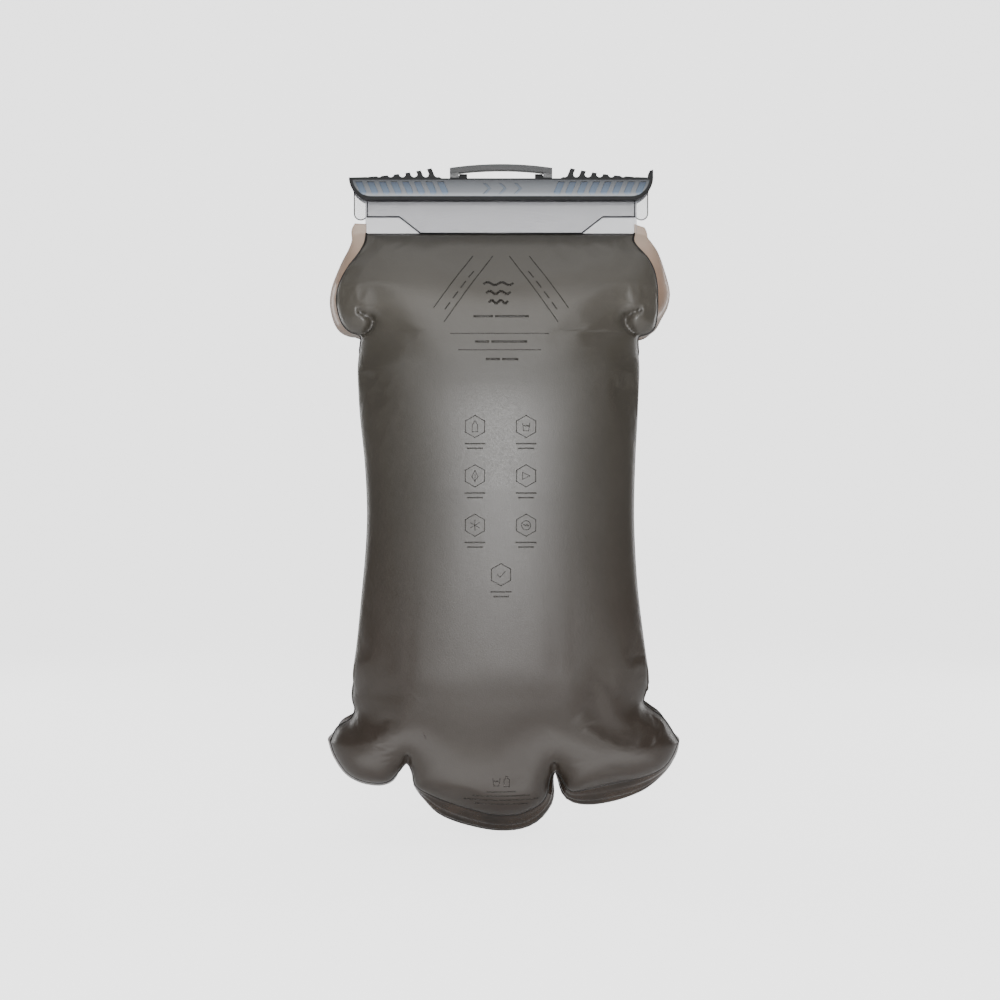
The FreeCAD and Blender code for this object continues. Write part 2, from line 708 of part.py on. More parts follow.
POPPET_BACK = f"({POPPET_FRONT} - sizes.poppet_thickness)"


def rod_along_y(name, start, end, radius, height=PORT_HEIGHT):
    """A round rod on the port's axis, from start to end along +Y."""
    rod = primitive("Cylinder", name, Height=f"{end} - {start}", Radius=radius)
    rod.Placement = Placement(Vector(0, 0, 0), Rotation(Vector(1, 0, 0), -90))
    place(rod, y=start, z=height)
    return rod


def turned(name, *profile):
    """A solid turned about the port's axis; each corner is (radius, distance along +Y)."""
    body = new_body(name)
    sketch = outline(body, f"{name}_profile", "XY_Plane", list(profile))
    turn = body.newObject("PartDesign::Revolution", f"{name}_turn")
    turn.Profile = sketch
    turn.ReferenceAxis = (origin_part(body, "Y_Axis"), [""])
    turn.Angle = 360
    body.Tip = turn
    place(body, z=PORT_HEIGHT)
    return body


def make_port_flange():
    """A disc welded on the back panel, with a neck into the bag and a boss that takes the socket."""
    disc_top = f"({BACK} + sizes.flange_thickness)"
    bore = size("flange_bore_radius")
    neck = f"({bore} + (sizes.flange_boss_radius - sizes.flange_bore_radius) / 2)"
    return turned("port_flange",
                  (bore, NECK_END), (neck, NECK_END), (neck, BACK), (size("flange_radius"), BACK),
                  (size("flange_radius"), disc_top), (size("flange_boss_radius"), disc_top),
                  (size("flange_boss_radius"), SOCKET_BASE), (bore, SOCKET_BASE))


def latch_shape(name, eye_height, radius, start, end, top):
    """The latch plate's outer shape, round below and straight-sided up to its top, as a solid."""
    round_end = rod_along_y(f"{name}_round", start, end, radius, eye_height)
    stem = primitive("Box", f"{name}_stem", Length=f"2 * {radius}", Width=f"{end} - {start}",
                     Height=f"{top} - {eye_height}")
    place(stem, f"-{radius}", start, eye_height)
    return combine("Fuse", name, round_end, stem)


def make_port_socket():
    """The socket that the hose's spigot plugs into: spigot bore, seal groove, valve seat and valve chamber,
    with a slot across it for the latch plate and a pocket for the plate's spring."""
    half_groove = "(sizes.ring_section + sizes.ring_clearance)"
    bore = size("socket_bore_radius")
    groove = f"({RING_RADIUS} + sizes.ring_section + sizes.ring_clearance)"
    chamber = size("chamber_radius")
    round_part = turned("socket_blank",
                        (chamber, NECK_END), (size("flange_bore_radius"), NECK_END),
                        (size("flange_bore_radius"), SOCKET_BASE), (size("socket_radius"), SOCKET_BASE),
                        (size("socket_radius"), SOCKET_MOUTH), (size("lead_in_radius"), SOCKET_MOUTH),
                        (size("lead_in_radius"), LATCH_MIDDLE), (bore, LATCH_MIDDLE),
                        (bore, f"({RING_MIDDLE} + {half_groove})"), (groove, f"({RING_MIDDLE} + {half_groove})"),
                        (groove, f"({RING_MIDDLE} - {half_groove})"), (bore, f"({RING_MIDDLE} - {half_groove})"),
                        (bore, SEAT_TOP), (size("seat_radius"), SEAT_TOP), (size("seat_radius"), SEAT_FACE),
                        (chamber, SEAT_FACE))
    half_slot = "(sizes.latch_thickness / 2 + sizes.latch_clearance)"
    slot = latch_shape("latch_slot", f"({EYE_HEIGHT} - sizes.button_travel - sizes.latch_clearance)",
                       "(sizes.latch_eye_radius + sizes.latch_rim + sizes.latch_clearance)",
                       f"({LATCH_MIDDLE} - {half_slot})", f"({LATCH_MIDDLE} + {half_slot})",
                       f"({PORT_HEIGHT} + sizes.socket_radius + {PAST})")
    pocket = primitive("Cylinder", "spring_pocket", Radius=size("spring_pocket_radius"),
                       Height=f"sizes.spring_pocket_depth + {PAST}")
    place(pocket, "0", SPRING_MIDDLE, f"{PORT_HEIGHT} + sizes.socket_radius - sizes.spring_pocket_depth")
    cuts = combine("MultiFuse", "socket_cuts", slot, pocket)
    return combine("Cut", "port_socket", round_part, cuts)


def make_release_button():
    """A ring plate across the socket's bore and a thumb pad above it.  The plate's eye stands above the bore's
    axis by the latch offset, so its lower rim catches the hose's groove until the pad is pressed."""
    half = "(sizes.latch_thickness / 2)"
    start = f"({LATCH_MIDDLE} - {half})"
    end = f"({LATCH_MIDDLE} + {half})"
    plate = latch_shape("latch_plate", EYE_HEIGHT, "(sizes.latch_eye_radius + sizes.latch_rim)", start, end,
                        f"({PAD_UNDERSIDE} + sizes.pad_thickness / 2)")
    eye = rod_along_y("latch_eye", f"({start} - {PAST})", f"({end} + {PAST})",
                      size("latch_eye_radius"), EYE_HEIGHT)
    pad = primitive("Box", "thumb_pad", Length=size("pad_width"), Height=size("pad_thickness"),
                    Width=f"{end} + sizes.pad_lip - ({start} - sizes.pad_overhang)")
    place(pad, "-sizes.pad_width / 2", f"{start} - sizes.pad_overhang", PAD_UNDERSIDE)
    ring = combine("Cut", "latch_ring", plate, eye)
    return combine("Fuse", "release_button", ring, pad)


def make_ring(name, middle, radius, section):
    ring = primitive("Torus", name, Radius1=radius, Radius2=section)
    ring.Placement = Placement(Vector(0, 0, 0), Rotation(Vector(1, 0, 0), -90))
    place(ring, y=middle, z=PORT_HEIGHT)
    return ring


def make_poppet():
    """A valve disc with a boss for its ring, a stem that the hose pushes and a tail that the cage guides."""
    tip = f"({SEAT_TOP} - sizes.stem_recess)"
    boss = f"({SEAT_FACE} - sizes.seal_gap)"
    tail = f"({NECK_END} - sizes.stem_tail)"
    return turned("valve_poppet",
                  ("0", tail), (size("guide_stem_radius"), tail), (size("guide_stem_radius"), POPPET_BACK),
                  (size("poppet_radius"), POPPET_BACK), (size("poppet_radius"), POPPET_FRONT),
                  (size("poppet_boss_radius"), POPPET_FRONT), (size("poppet_boss_radius"), boss),
                  (size("push_stem_radius"), boss), (size("push_stem_radius"), tip), ("0", tip))


def make_cage():
    """A disc pressed into the chamber's inner end, drilled for the poppet's tail and for the water."""
    drilled = (f"({NECK_END} - {PAST})", f"({CAGE_FACE} + {PAST})")
    disc = rod_along_y("cage_disc", NECK_END, CAGE_FACE, size("chamber_radius"))
    holes = [rod_along_y("cage_guide", *drilled, "sizes.guide_stem_radius + sizes.stem_clearance")]
    count = int(value(size("cage_hole_count")))
    for number in range(count):
        turn = f"({number} * 360deg / sizes.cage_hole_count)"
        hole = rod_along_y(f"cage_hole_{number}", *drilled, size("cage_hole_radius"),
                           f"({PORT_HEIGHT} + sizes.cage_hole_circle * cos({turn}))")
        bind(hole, Placement__Base__x=f"sizes.cage_hole_circle * sin({turn})")
        holes.append(hole)
    return combine("Cut", "valve_cage", disc, combine("MultiFuse", "cage_holes", *holes))


def make_spring(name, radius, wire, turns, start, end, upright, across="0"):
    """A light spring as a stack of wire rings from start to end, tied by two straight links.  It lies along Z
    at Y = across if it is upright, and otherwise along the port's own axis."""
    turn = Rotation() if upright else Rotation(Vector(1, 0, 0), -90)
    first = f"({start} + {wire} / 2)"
    span = f"({end} - {start} - {wire})"
    pieces = []
    for number in range(int(value(turns)) + 1):
        along = f"{first} + {number} * {span} / {turns}"
        ring = primitive("Torus", f"{name}_ring_{number}", Radius1=radius, Radius2=f"{wire} / 2")
        ring.Placement = Placement(Vector(0, 0, 0), turn)
        place(ring, "0", *((across, along) if upright else (along, PORT_HEIGHT)))
        pieces.append(ring)
    for side in (-1, 1):
        link = primitive("Cylinder", f"{name}_link_{len(pieces)}", Radius=f"{wire} * {LINK_SHARE}", Height=span)
        link.Placement = Placement(Vector(0, 0, 0), turn)
        place(link, f"{side} * {radius}", *((across, first) if upright else (first, PORT_HEIGHT)))
        pieces.append(link)
    return combine("MultiFuse", name, *pieces)


def make_button_spring():
    base = f"({PORT_HEIGHT} + sizes.socket_radius - sizes.spring_pocket_depth)"
    return make_spring("button_spring", size("button_spring_radius"), size("button_spring_wire"),
                       size("button_spring_turns"), base, PAD_UNDERSIDE, True, SPRING_MIDDLE)


def make_valve_spring():
    return make_spring("valve_spring", size("valve_spring_radius"), size("valve_spring_wire"),
                       size("valve_spring_turns"), CAGE_FACE, POPPET_BACK, False)


# ---- the assembly -------------------------------------------------------------------------------------------

nodes = [
    make_slide_closure(),
    make_hanger(),
    make_collar("front_collar", -1),
    make_collar("rear_collar", 1),
    make_rail("front_lip_rail", -1),
    make_rail("rear_lip_rail", 1),
    make_stiffener("front_stiffener", -1, tabs=False),
    make_stiffener("rear_stiffener", 1, tabs=True),
    *make_bag(),
    make_port_flange(),
    make_port_socket(),
    make_ring("socket_o_ring", RING_MIDDLE, RING_RADIUS, size("ring_section")),
    make_release_button(),
    make_button_spring(),
    make_poppet(),
    make_ring("poppet_o_ring", f"{POPPET_FRONT} + sizes.poppet_ring_section",
              "sizes.poppet_boss_radius + sizes.seal_gap + sizes.poppet_ring_section",
              size("poppet_ring_section")),
    make_valve_spring(),
    make_cage(),
]
doc.recompute()

for thing in doc.Objects:
    if "Invalid" in thing.State or "Error" in thing.State:
        raise RuntimeError(f"{thing.Name} failed: {thing.State}")
for node in nodes:
    node.Label = node.Name
    if node.Shape.isNull() or not node.Shape.isValid() or not node.Shape.Solids:
        raise RuntimeError(f"{node.Name} has no valid solid")

os.makedirs("parts", exist_ok=True)
for node in nodes:
    node.Shape.exportStep(f"parts/{node.Label}.step")
    box = node.Shape.BoundBox
    print(f"{node.Label:20s} solids {len(node.Shape.Solids)}  volume {node.Shape.Volume:9.1f}  "
          f"x {box.XMin:7.1f} {box.XMax:7.1f}  y {box.YMin:6.1f} {box.YMax:6.1f}  z {box.ZMin:7.1f} {box.ZMax:6.1f}")
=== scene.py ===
import math

import bmesh
import bpy
import numpy as np
from mathutils import Matrix, Vector
from mathutils.bvhtree import BVHTree


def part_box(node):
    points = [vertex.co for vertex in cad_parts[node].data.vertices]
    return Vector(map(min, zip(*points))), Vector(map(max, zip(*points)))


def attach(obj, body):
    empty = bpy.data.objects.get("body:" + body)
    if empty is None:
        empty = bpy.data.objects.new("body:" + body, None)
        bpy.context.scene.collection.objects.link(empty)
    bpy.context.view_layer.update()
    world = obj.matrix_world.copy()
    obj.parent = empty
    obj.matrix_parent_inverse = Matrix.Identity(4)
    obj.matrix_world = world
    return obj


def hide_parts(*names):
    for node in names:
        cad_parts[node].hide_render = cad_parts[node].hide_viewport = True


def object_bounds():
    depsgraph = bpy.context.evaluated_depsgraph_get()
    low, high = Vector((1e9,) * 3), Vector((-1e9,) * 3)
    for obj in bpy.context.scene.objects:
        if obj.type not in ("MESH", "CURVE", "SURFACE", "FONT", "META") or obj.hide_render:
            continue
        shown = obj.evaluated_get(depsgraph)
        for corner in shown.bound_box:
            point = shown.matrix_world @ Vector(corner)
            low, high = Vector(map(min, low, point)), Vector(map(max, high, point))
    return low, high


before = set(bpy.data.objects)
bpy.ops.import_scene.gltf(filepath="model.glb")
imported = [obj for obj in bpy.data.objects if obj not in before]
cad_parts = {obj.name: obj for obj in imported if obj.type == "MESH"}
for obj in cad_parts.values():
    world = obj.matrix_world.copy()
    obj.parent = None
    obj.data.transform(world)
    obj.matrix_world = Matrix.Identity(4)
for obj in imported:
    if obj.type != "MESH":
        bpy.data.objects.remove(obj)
cad_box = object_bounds()

MM = 0.001
CLOSURE_CORNER = 13.0       # radius of the slide closure's lower corners
RIBBON_HALF = 12.0          # half of the gusset ribbon's width
FILM = 0.45                 # thickness of the welded film
WELD_RADIUS = 0.75          # half the width of the bead along a weld
EDGE_RADIUS = 0.35          # half the width of the painted shade line along a clear plate's edge
INK = 0.05                  # thickness of the screen print


# ---- places read from the frame, in millimetres ----------------------------------------------------------

def box_mm(node):
    low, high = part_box(node)
    return low / MM, high / MM


CLOSURE_LOW, CLOSURE_HIGH = box_mm("slide_closure")
COLLAR_LOW, COLLAR_HIGH = box_mm("front_collar")
PANEL_LOW, PANEL_HIGH = box_mm("front_panel")
FLANGE_LOW, FLANGE_HIGH = box_mm("port_flange")
MOUTH = COLLAR_LOW.z
BELLY = -PANEL_LOW.y
PORT_Z = (FLANGE_LOW.z + FLANGE_HIGH.z) / 2
FLANGE_RADIUS = (FLANGE_HIGH.x - FLANGE_LOW.x) / 2
WALL_HEIGHT = 12.5          # from the closure's foot to its roof, without the finger crests
ROOF = CLOSURE_LOW.z + WALL_HEIGHT


# ---- small helpers ---------------------------------------------------------------------------------------

def linear(hex_colour):
    """An sRGB hex value as a linear RGBA colour."""
    channels = [int(hex_colour[i:i + 2], 16) / 255 for i in (1, 3, 5)]
    return [c / 12.92 if c <= 0.04045 else ((c + 0.055) / 1.055) ** 2.4 for c in channels] + [1.0]


def feed(material, socket, value):
    """Sets a socket to a value, or links another node's output to it."""
    if isinstance(value, bpy.types.NodeSocket):
        material.node_tree.links.new(value, socket)
    else:
        socket.default_value = value


def add_node(material, kind, sockets, stops=(), **settings):
    """Adds a node.  Its sockets, by name or number, take values or other nodes' outputs; settings are its
    properties, and stops are a ramp's places and hex colours."""
    node = material.node_tree.nodes.new(kind)
    for name, value in settings.items():
        setattr(node, name, value)
    for key, value in sockets.items():
        feed(material, node.inputs[key], value)
    while stops and len(node.color_ramp.elements) < len(stops):
        node.color_ramp.elements.new(0.5)
    for number, (position, colour) in enumerate(stops):
        node.color_ramp.elements[number].position = position
        node.color_ramp.elements[number].color = linear(colour)
    return node.outputs


def new_material(name, roughness=0.4, colour="#808080", **settings):
    """A material with one principled shader, whose constant values sit on its own sockets."""
    material = bpy.data.materials.new(name)
    material.use_nodes = True
    shader = material.node_tree.nodes["Principled BSDF"].inputs
    shader["Base Color"].default_value = linear(colour)
    shader["Roughness"].default_value = roughness
    for name, value in settings.items():
        shader[name.replace("_", " ")].default_value = value
    return material, shader


def object_mm(material):
    """Object coordinates in millimetres."""
    place = add_node(material, "ShaderNodeTexCoord", {})["Object"]
    return add_node(material, "ShaderNodeVectorMath", {0: place, "Scale": 1 / MM}, operation="SCALE")["Vector"]


def height_share(material, where, low, high, start=0.0, end=1.0):
    """A value that runs from start to end between two heights in millimetres."""
    height = add_node(material, "ShaderNodeSeparateXYZ", {0: where})["Z"]
    return add_node(material, "ShaderNodeMapRange", {0: height, 1: low, 2: high, 3: start, 4: end})[0]


def clouded(material, where, size_mm, detail, most, colour, over):
    """A colour drifted over another one in soft patches of this size, by at most this share."""
    patch = add_node(material, "ShaderNodeTexNoise",
                     {"Vector": where, "Scale": 1 / size_mm, "Detail": detail, "Roughness": 0.5})[0]
    share = add_node(material, "ShaderNodeMapRange", {0: patch, 1: 0.3, 2: 0.7, 3: 0.0, 4: most})[0]
    return add_node(material, "ShaderNodeMix", {0: share, 6: over, 7: linear(colour)}, data_type="RGBA")[2]


def grained(material, shader, where, size_mm, detail, depth_mm, roughness=0.5):
    """Presses a grain of this size and depth into the surface, and gives the grain's pattern back."""
    grain = add_node(material, "ShaderNodeTexNoise",
                     {"Vector": where, "Scale": 1 / size_mm, "Detail": detail, "Roughness": roughness})[0]
    pressed = add_node(material, "ShaderNodeBump", {"Height": grain, "Strength": 1.0, "Distance": depth_mm * MM})
    feed(material, shader["Normal"], pressed["Normal"])
    return grain


def finish_piece(name, bm, material, body, stands_for):
    """Turns a bmesh in millimetres into a placed piece."""
    mesh = bpy.data.meshes.new(name)
    bmesh.ops.scale(bm, vec=(MM, MM, MM), verts=bm.verts)
    bm.to_mesh(mesh)
    bm.free()
    piece = bpy.data.objects.new(name, mesh)
    bpy.context.scene.collection.objects.link(piece)
    mesh.materials.append(material)
    for face in mesh.polygons:
        face.use_smooth = True
    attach(piece, body)
    if stands_for:
        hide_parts(*stands_for)
    return piece


# ---- materials -------------------------------------------------------------------------------------------

def smoky_film():
    """Smoky TPU film, calendered matte: a fine satin grain over a dark taupe body.  The satin face carries most
    of the light and leaves the sides of the filled bag dark."""
    material, shader = new_material("smoky_tpu_film", IOR=1.52, Specular_IOR_Level=0.7)
    where = object_mm(material)
    # Colour by height: darker and browner towards the foot, with a painted highlight, a lighter band across the
    # shoulders around z = -80 mm.
    body = add_node(material, "ShaderNodeValToRGB", {0: height_share(material, where, -390, -30)},
                    [(0.0, "#251c15"), (0.12, "#2b2119"), (0.3, "#2f261e"), (0.55, "#322d26"),
                     (0.76, "#3b3730"), (0.86, "#504c45"), (0.96, "#48453f"), (1.0, "#383632")])[0]
    feed(material, shader["Base Color"], clouded(material, where, 40, 3, 0.35, "#413d37", body))
    # the real grain is about 0.1 mm, drawn at 0.8 mm so that it shows
    grain = grained(material, shader, where, 0.8, 2, 0.05, roughness=0.7)
    satin = add_node(material, "ShaderNodeMapRange", {0: grain, 1: 0.3, 2: 0.7, 3: 0.33, 4: 0.45})[0]
    feed(material, shader["Roughness"], satin)
    return material


def gusset_film():
    """The same TPU film with its glossy side out: pale and pinkish at the ears in painted backlight, where one
    empty layer is seen against the light, and nearly black and glossier over the water at the foot."""
    material, shader = new_material("glossy_tpu_gusset", IOR=1.52, Coat_Weight=0.25, Coat_Roughness=0.1)
    where = object_mm(material)
    # Colour by height: the pale pinkish top is painted backlight through the empty ears, the lighter step near z =
    # -332 mm is a painted highlight at the foot's corners, and the film darkens towards the foot.
    body = add_node(material, "ShaderNodeValToRGB", {0: height_share(material, where, -390, -30)},
                    [(0.0, "#19140f"), (0.1, "#221b15"), (0.16, "#4a382c"), (0.2, "#332b24"),
                     (0.76, "#40372f"), (0.8, "#86705f"), (0.9, "#9d8270"), (1.0, "#b9a595")])[0]
    feed(material, shader["Base Color"], clouded(material, where, 18, 2, 0.3, "#5f4e42", body))
    feed(material, shader["Roughness"], height_share(material, where, -290, -130, 0.1, 0.4))
    grained(material, shader, where, 9, 1.5, 0.3)
    return material


def weld_film():
    """Film pressed flat and dark by the welding bar."""
    material, shader = new_material("welded_tpu_seam", roughness=0.3, colour="#1b1815", IOR=1.5)
    grained(material, shader, object_mm(material), 0.8, 2, 0.03)
    return material


def clear_film(name, colour, alpha, roughness):
    """Clear TPU sheet: almost colourless, with a faint grey body and soft highlights."""
    material, shader = new_material(name, roughness=roughness, colour=colour, Alpha=alpha, IOR=1.49,
                                    Coat_Weight=0.4, Coat_Roughness=0.1)
    grained(material, shader, object_mm(material), 14, 1, 0.12)
    return material


def levelness(material, axis):
    """1 where the surface faces along an axis, either way, and 0 where it runs along it."""
    normal = add_node(material, "ShaderNodeNewGeometry", {})["Normal"]
    facing = add_node(material, "ShaderNodeSeparateXYZ", {0: normal})[axis]
    return add_node(material, "ShaderNodeMath", {0: facing}, operation="ABSOLUTE")[0]


def clear_plate():
    """Clear polycarbonate plate: see-through faces and painted dark shade on the cut edges, where light leaves a
    sheet edgeways.
    """
    material, shader = new_material("clear_polycarbonate_plate", roughness=0.15, IOR=1.58)
    face = levelness(material, "Y")
    # Painted shade: faces that don't face along Y, the plate's cut edges, are coloured dark and made more solid.
    painted_edge_tint = add_node(material, "ShaderNodeValToRGB", {0: face}, [(0.3, "#4a4a4e"), (0.8, "#cfcfd4")])[0]
    feed(material, shader["Base Color"], painted_edge_tint)
    solid = add_node(material, "ShaderNodeMapRange", {0: face, 1: 0.3, 2: 0.8, 3: 0.95, 4: 0.3})[0]
    feed(material, shader["Alpha"], solid)
    return material


def worked_out(material, value, steps):
    """Takes a value through a run of sums, each (operation, operand)."""
    for operation, operand in steps:
        value = add_node(material, "ShaderNodeMath", {0: value, 1: operand}, operation=operation)[0]
    return value


def lip_depth(material, axes):
    """How far a point of the closure's wall is inside its lower outline, which has round corners."""
    across = worked_out(material, axes["X"], [
        ("ABSOLUTE", 0.0), ("SUBTRACT", CLOSURE_HIGH.x - CLOSURE_CORNER), ("MAXIMUM", 0.0), ("POWER", 2.0)])
    down = worked_out(material, axes["Z"], [
        ("MULTIPLY", -1.0), ("ADD", CLOSURE_LOW.z + CLOSURE_CORNER), ("MAXIMUM", 0.0), ("POWER", 2.0)])
    return worked_out(material, across, [
        ("ADD", down), ("SQRT", 0.0), ("MULTIPLY", -1.0), ("ADD", CLOSURE_CORNER)])


def closure_plastic():
    """Moulded smoky polypropylene with its light and shade painted in: mid-grey walls that pale towards their foot
    and bluish pockets where the wall is thin, both in a painted gradient, and painted near-black shade on the
    crests, the level faces and the lower edge, where the light goes through its whole depth."""
    material, shader = new_material("smoky_polypropylene", IOR=1.49, Specular_IOR_Level=0.35)
    where = object_mm(material)
    axes = add_node(material, "ShaderNodeSeparateXYZ", {0: where})
    depth = add_node(material, "ShaderNodeMath", {0: axes["Y"]}, operation="ABSOLUTE")[0]
    half = CLOSURE_HIGH.y
    full_wall = add_node(material, "ShaderNodeMapRange", {0: depth, 1: half - 0.7, 2: half - 0.3})[0]
    rise = add_node(material, "ShaderNodeMapRange", {0: axes["Z"], 1: CLOSURE_LOW.z + 1.6, 2: ROOF - 0.8})[0]
    # Painted gradient: the walls and the pockets pale towards the foot and darken towards the roof.
    wall = add_node(material, "ShaderNodeValToRGB", {0: rise},
                    [(0.0, "#b4b8bc"), (0.3, "#777b80"), (1.0, "#3c3f44")])[0]
    pocket_painted_shading = add_node(material, "ShaderNodeValToRGB", {0: rise},
                      [(0.0, "#c3d0de"), (0.3, "#5f7187"), (1.0, "#233042")])[0]
    side = add_node(material, "ShaderNodeMix", {0: full_wall, 6: pocket_painted_shading, 7: wall}, data_type="RGBA")[2]
    # Painted shade: the crests, the level faces and the band inside the lower outline turn near-black.
    crest_shade = add_node(material, "ShaderNodeMapRange", {0: axes["Z"], 1: ROOF - 1.2, 2: ROOF - 0.7})[0]
    lip = add_node(material, "ShaderNodeMapRange", {0: lip_depth(material, axes), 1: 2.5, 2: 1.9})[0]
    flat = add_node(material, "ShaderNodeMapRange", {0: levelness(material, "Z"), 1: 0.35, 2: 0.8})[0]
    dark = worked_out(material, crest_shade, [("MAXIMUM", flat), ("MAXIMUM", lip)])
    mixed = add_node(material, "ShaderNodeMix", {0: dark, 6: side, 7: linear("#0c0d0f")}, data_type="RGBA")[2]
    feed(material, shader["Base Color"], mixed)
    sheen = add_node(material, "ShaderNodeMapRange", {0: dark, 3: 0.26, 4: 0.6})[0]
    feed(material, shader["Roughness"], sheen)
    grained(material, shader, where, 0.9, 2, 0.02)
    return material


def hard_plastic(name, colour, roughness):
    """Injection-moulded plastic with a fine spark texture."""
    material, shader = new_material(name, roughness=roughness, colour=colour, IOR=1.5)
    grain = grained(material, shader, object_mm(material), 0.6, 3, 0.02)
    polish = add_node(material, "ShaderNodeMapRange",
                      {0: grain, 1: 0.3, 2: 0.7, 3: roughness - 0.06, 4: roughness + 0.08})[0]
    feed(material, shader["Roughness"], polish)
    return material


def ink():
    """Screen ink on the film: thin, speckled and a little darker than it."""
    material, shader = new_material("screen_ink", roughness=0.38, colour="#35312b")
    speckle = add_node(material, "ShaderNodeTexNoise", {"Vector": object_mm(material), "Scale": 1 / 0.5,
                                                        "Detail": 2, "Roughness": 0.5})[0]
    cover = add_node(material, "ShaderNodeMapRange", {0: speckle, 1: 0.25, 2: 0.6, 3: 0.22, 4: 0.42})[0]
    feed(material, shader["Alpha"], cover)
    return material


def spring_wire():
    """Drawn stainless wire, with faint drawing lines."""
    material, shader = new_material("drawn_stainless_wire", roughness=0.25, colour="#c0c1c3", Metallic=1.0)
    grained(material, shader, object_mm(material), 0.3, 3, 0.01)
    return material


FILM_FRONT = smoky_film()
FILM_GUSSET = gusset_film()
FILM_WELD = weld_film()
FILM_CLEAR = clear_film("clear_tpu_film", "#cfcfd4", 0.4, 0.2)
RAIL_CLEAR = clear_film("clear_tpu_rail", "#8f9096", 0.7, 0.25)
PLATE_CLEAR = clear_plate()
# painted shade: the dark plastic of the lines along the clear plates' edges
PLATE_EDGE_SHADE = hard_plastic("painted_edge_shade_plastic", "#26262b", 0.3)
CLOSURE = closure_plastic()
HANGER = hard_plastic("black_nylon", "#1d1f21", 0.34)
PORT = hard_plastic("black_acetal", "#191a1c", 0.4)
BUTTON = hard_plastic("grey_acetal", "#5d6165", 0.38)
VALVE = hard_plastic("natural_acetal", "#d5d3cc", 0.35)
SEAL = hard_plastic("black_silicone", "#151515", 0.55)
WIRE = spring_wire()
INK_FILM = ink()


# ---- the bag's outline, seen from the front, in millimetres ----------------------------------------------
# The front panel's weld line.  The mouth is flat and held by the collar, so the film flares into an ear below
# it, pinches at the fold under the ear, runs down the filled body, tucks in again and flares to the corner.

LEFT_EDGE = [(-79.0, MOUTH), (-79.6, -43), (-83.0, -50), (-88.6, -58), (-93.0, -67), (-95.0, -76), (-94.2, -84),
             (-91.8, -91), (-87.5, -95.6), (-81.4, -98.2), (-81.2, -103), (-82.4, -114), (-81.4, -140),
             (-78.1, -172), (-76.8, -198), (-77.4, -220), (-79.4, -245), (-82.0, -275), (-85.6, -302),
             (-85.6, -309), (-84.4, -314.5), (-87.0, -320), (-94.6, -325), (-98.6, -333)]
RIGHT_EDGE = [(78.2, MOUTH), (77.4, -42), (80.6, -47), (85.2, -52.5), (88.6, -60), (90.0, -68), (90.4, -77),
              (90.1, -86), (88.6, -93.5), (84.5, -97), (79.6, -98.6), (79.0, -103), (79.6, -114), (78.6, -140),
              (76.9, -172), (76.2, -198), (76.7, -220), (78.2, -245), (81.6, -275), (84.6, -298),
              (83.6, -304), (82.4, -310.5), (87.6, -315), (94.6, -320.6), (102.4, -333)]
# The foot is buckled into three lobes with a deep tuck between each two.
FOOT_EDGE = [(-98.6, -333), (-95.4, -341.5), (-89.0, -350.6), (-80.5, -355.4), (-71.0, -356.8), (-64.6, -355.6),
             (-59.6, -350.6), (-54.6, -345.2), (-51.2, -350.8), (-49.2, -358.6), (-39.0, -364.4), (-28.6, -368.4),
             (-16.5, -372.2), (-4.0, -375.2), (8.0, -375.2), (17.0, -372.2), (23.6, -368.0), (26.6, -362.6),
             (28.0, -354.6), (31.0, -349.6), (34.6, -353.2), (39.8, -361.2), (50.0, -360.2), (66.0, -356.6),
             (81.0, -353.6), (92.6, -348.6), (98.6, -341.8), (102.4, -333)]
# Short folds that run into the panels from the pinches and tucks: points, and how hard each pulls the film in.
FOLDS = [
    ([(-81.4, -98.2), (-77.0, -96.4), (-74.0, -92.4), (-74.4, -88.4)], 0.09),
    ([(-74.4, -88.4), (-77.8, -87.2), (-82.4, -84.6)], 0.003),
    ([(79.6, -98.6), (75.2, -96.2), (71.8, -91.6), (72.2, -87.4)], 0.09),
    ([(72.2, -87.4), (75.6, -85.8), (80.6, -83.8)], 0.003),
    ([(-54.6, -345.2), (-53.8, -339.5)], 0.030),
    ([(31.0, -349.6), (30.4, -343.8)], 0.030),
]
# Half the filled bag's depth at its middle, by height.
DEPTHS = [(MOUTH, 1.2), (MOUTH - 2, 4.2), (-43, 9.0), (-52, 15.5), (-69, 25.0), (-95, 34.0), (-127, 39.6),
          (-187, BELLY), (-400, BELLY)]
# How far the gusset ribbon stands out past the weld lines: down the left side, along the foot from left to
# right, and down the right side, each by its share of the way.
LEFT_SWELL = [(0, 8.5), (0.03, 7.2), (0.075, 5.0), (0.113, 5.0), (0.145, 4.0), (0.16, 1.5), (0.18, -3.0),
              (0.24, -5.0), (0.85, -5.0), (0.93, -1.0), (1, 2.5)]
FOOT_SWELL = [(0, 2.5), (0.15, 3.2), (0.2, 3.4), (0.25, 3.4), (0.29, 1.0), (0.313, -1.8), (0.35, 1.0), (0.38, 5.5),
              (0.41, 10.0), (0.44, 11.0), (0.478, 10.5), (0.53, 10.0), (0.556, 6.5), (0.588, 3.5), (0.604, 3.0),
              (0.64, 5.0), (0.667, 9.8), (0.719, 12.0), (0.775, 9.2), (0.83, 5.0), (0.92, 3.0), (1, 1.5)]
RIGHT_SWELL = [(0, 7.6), (0.012, 9.0), (0.03, 8.5), (0.063, 7.0), (0.095, 8.4), (0.112, 7.0), (0.127, 4.0),
               (0.15, 0.5), (0.17, -3.0), (0.24, -5.0), (0.85, -5.0), (0.93, -1.0), (1, 1.5)]


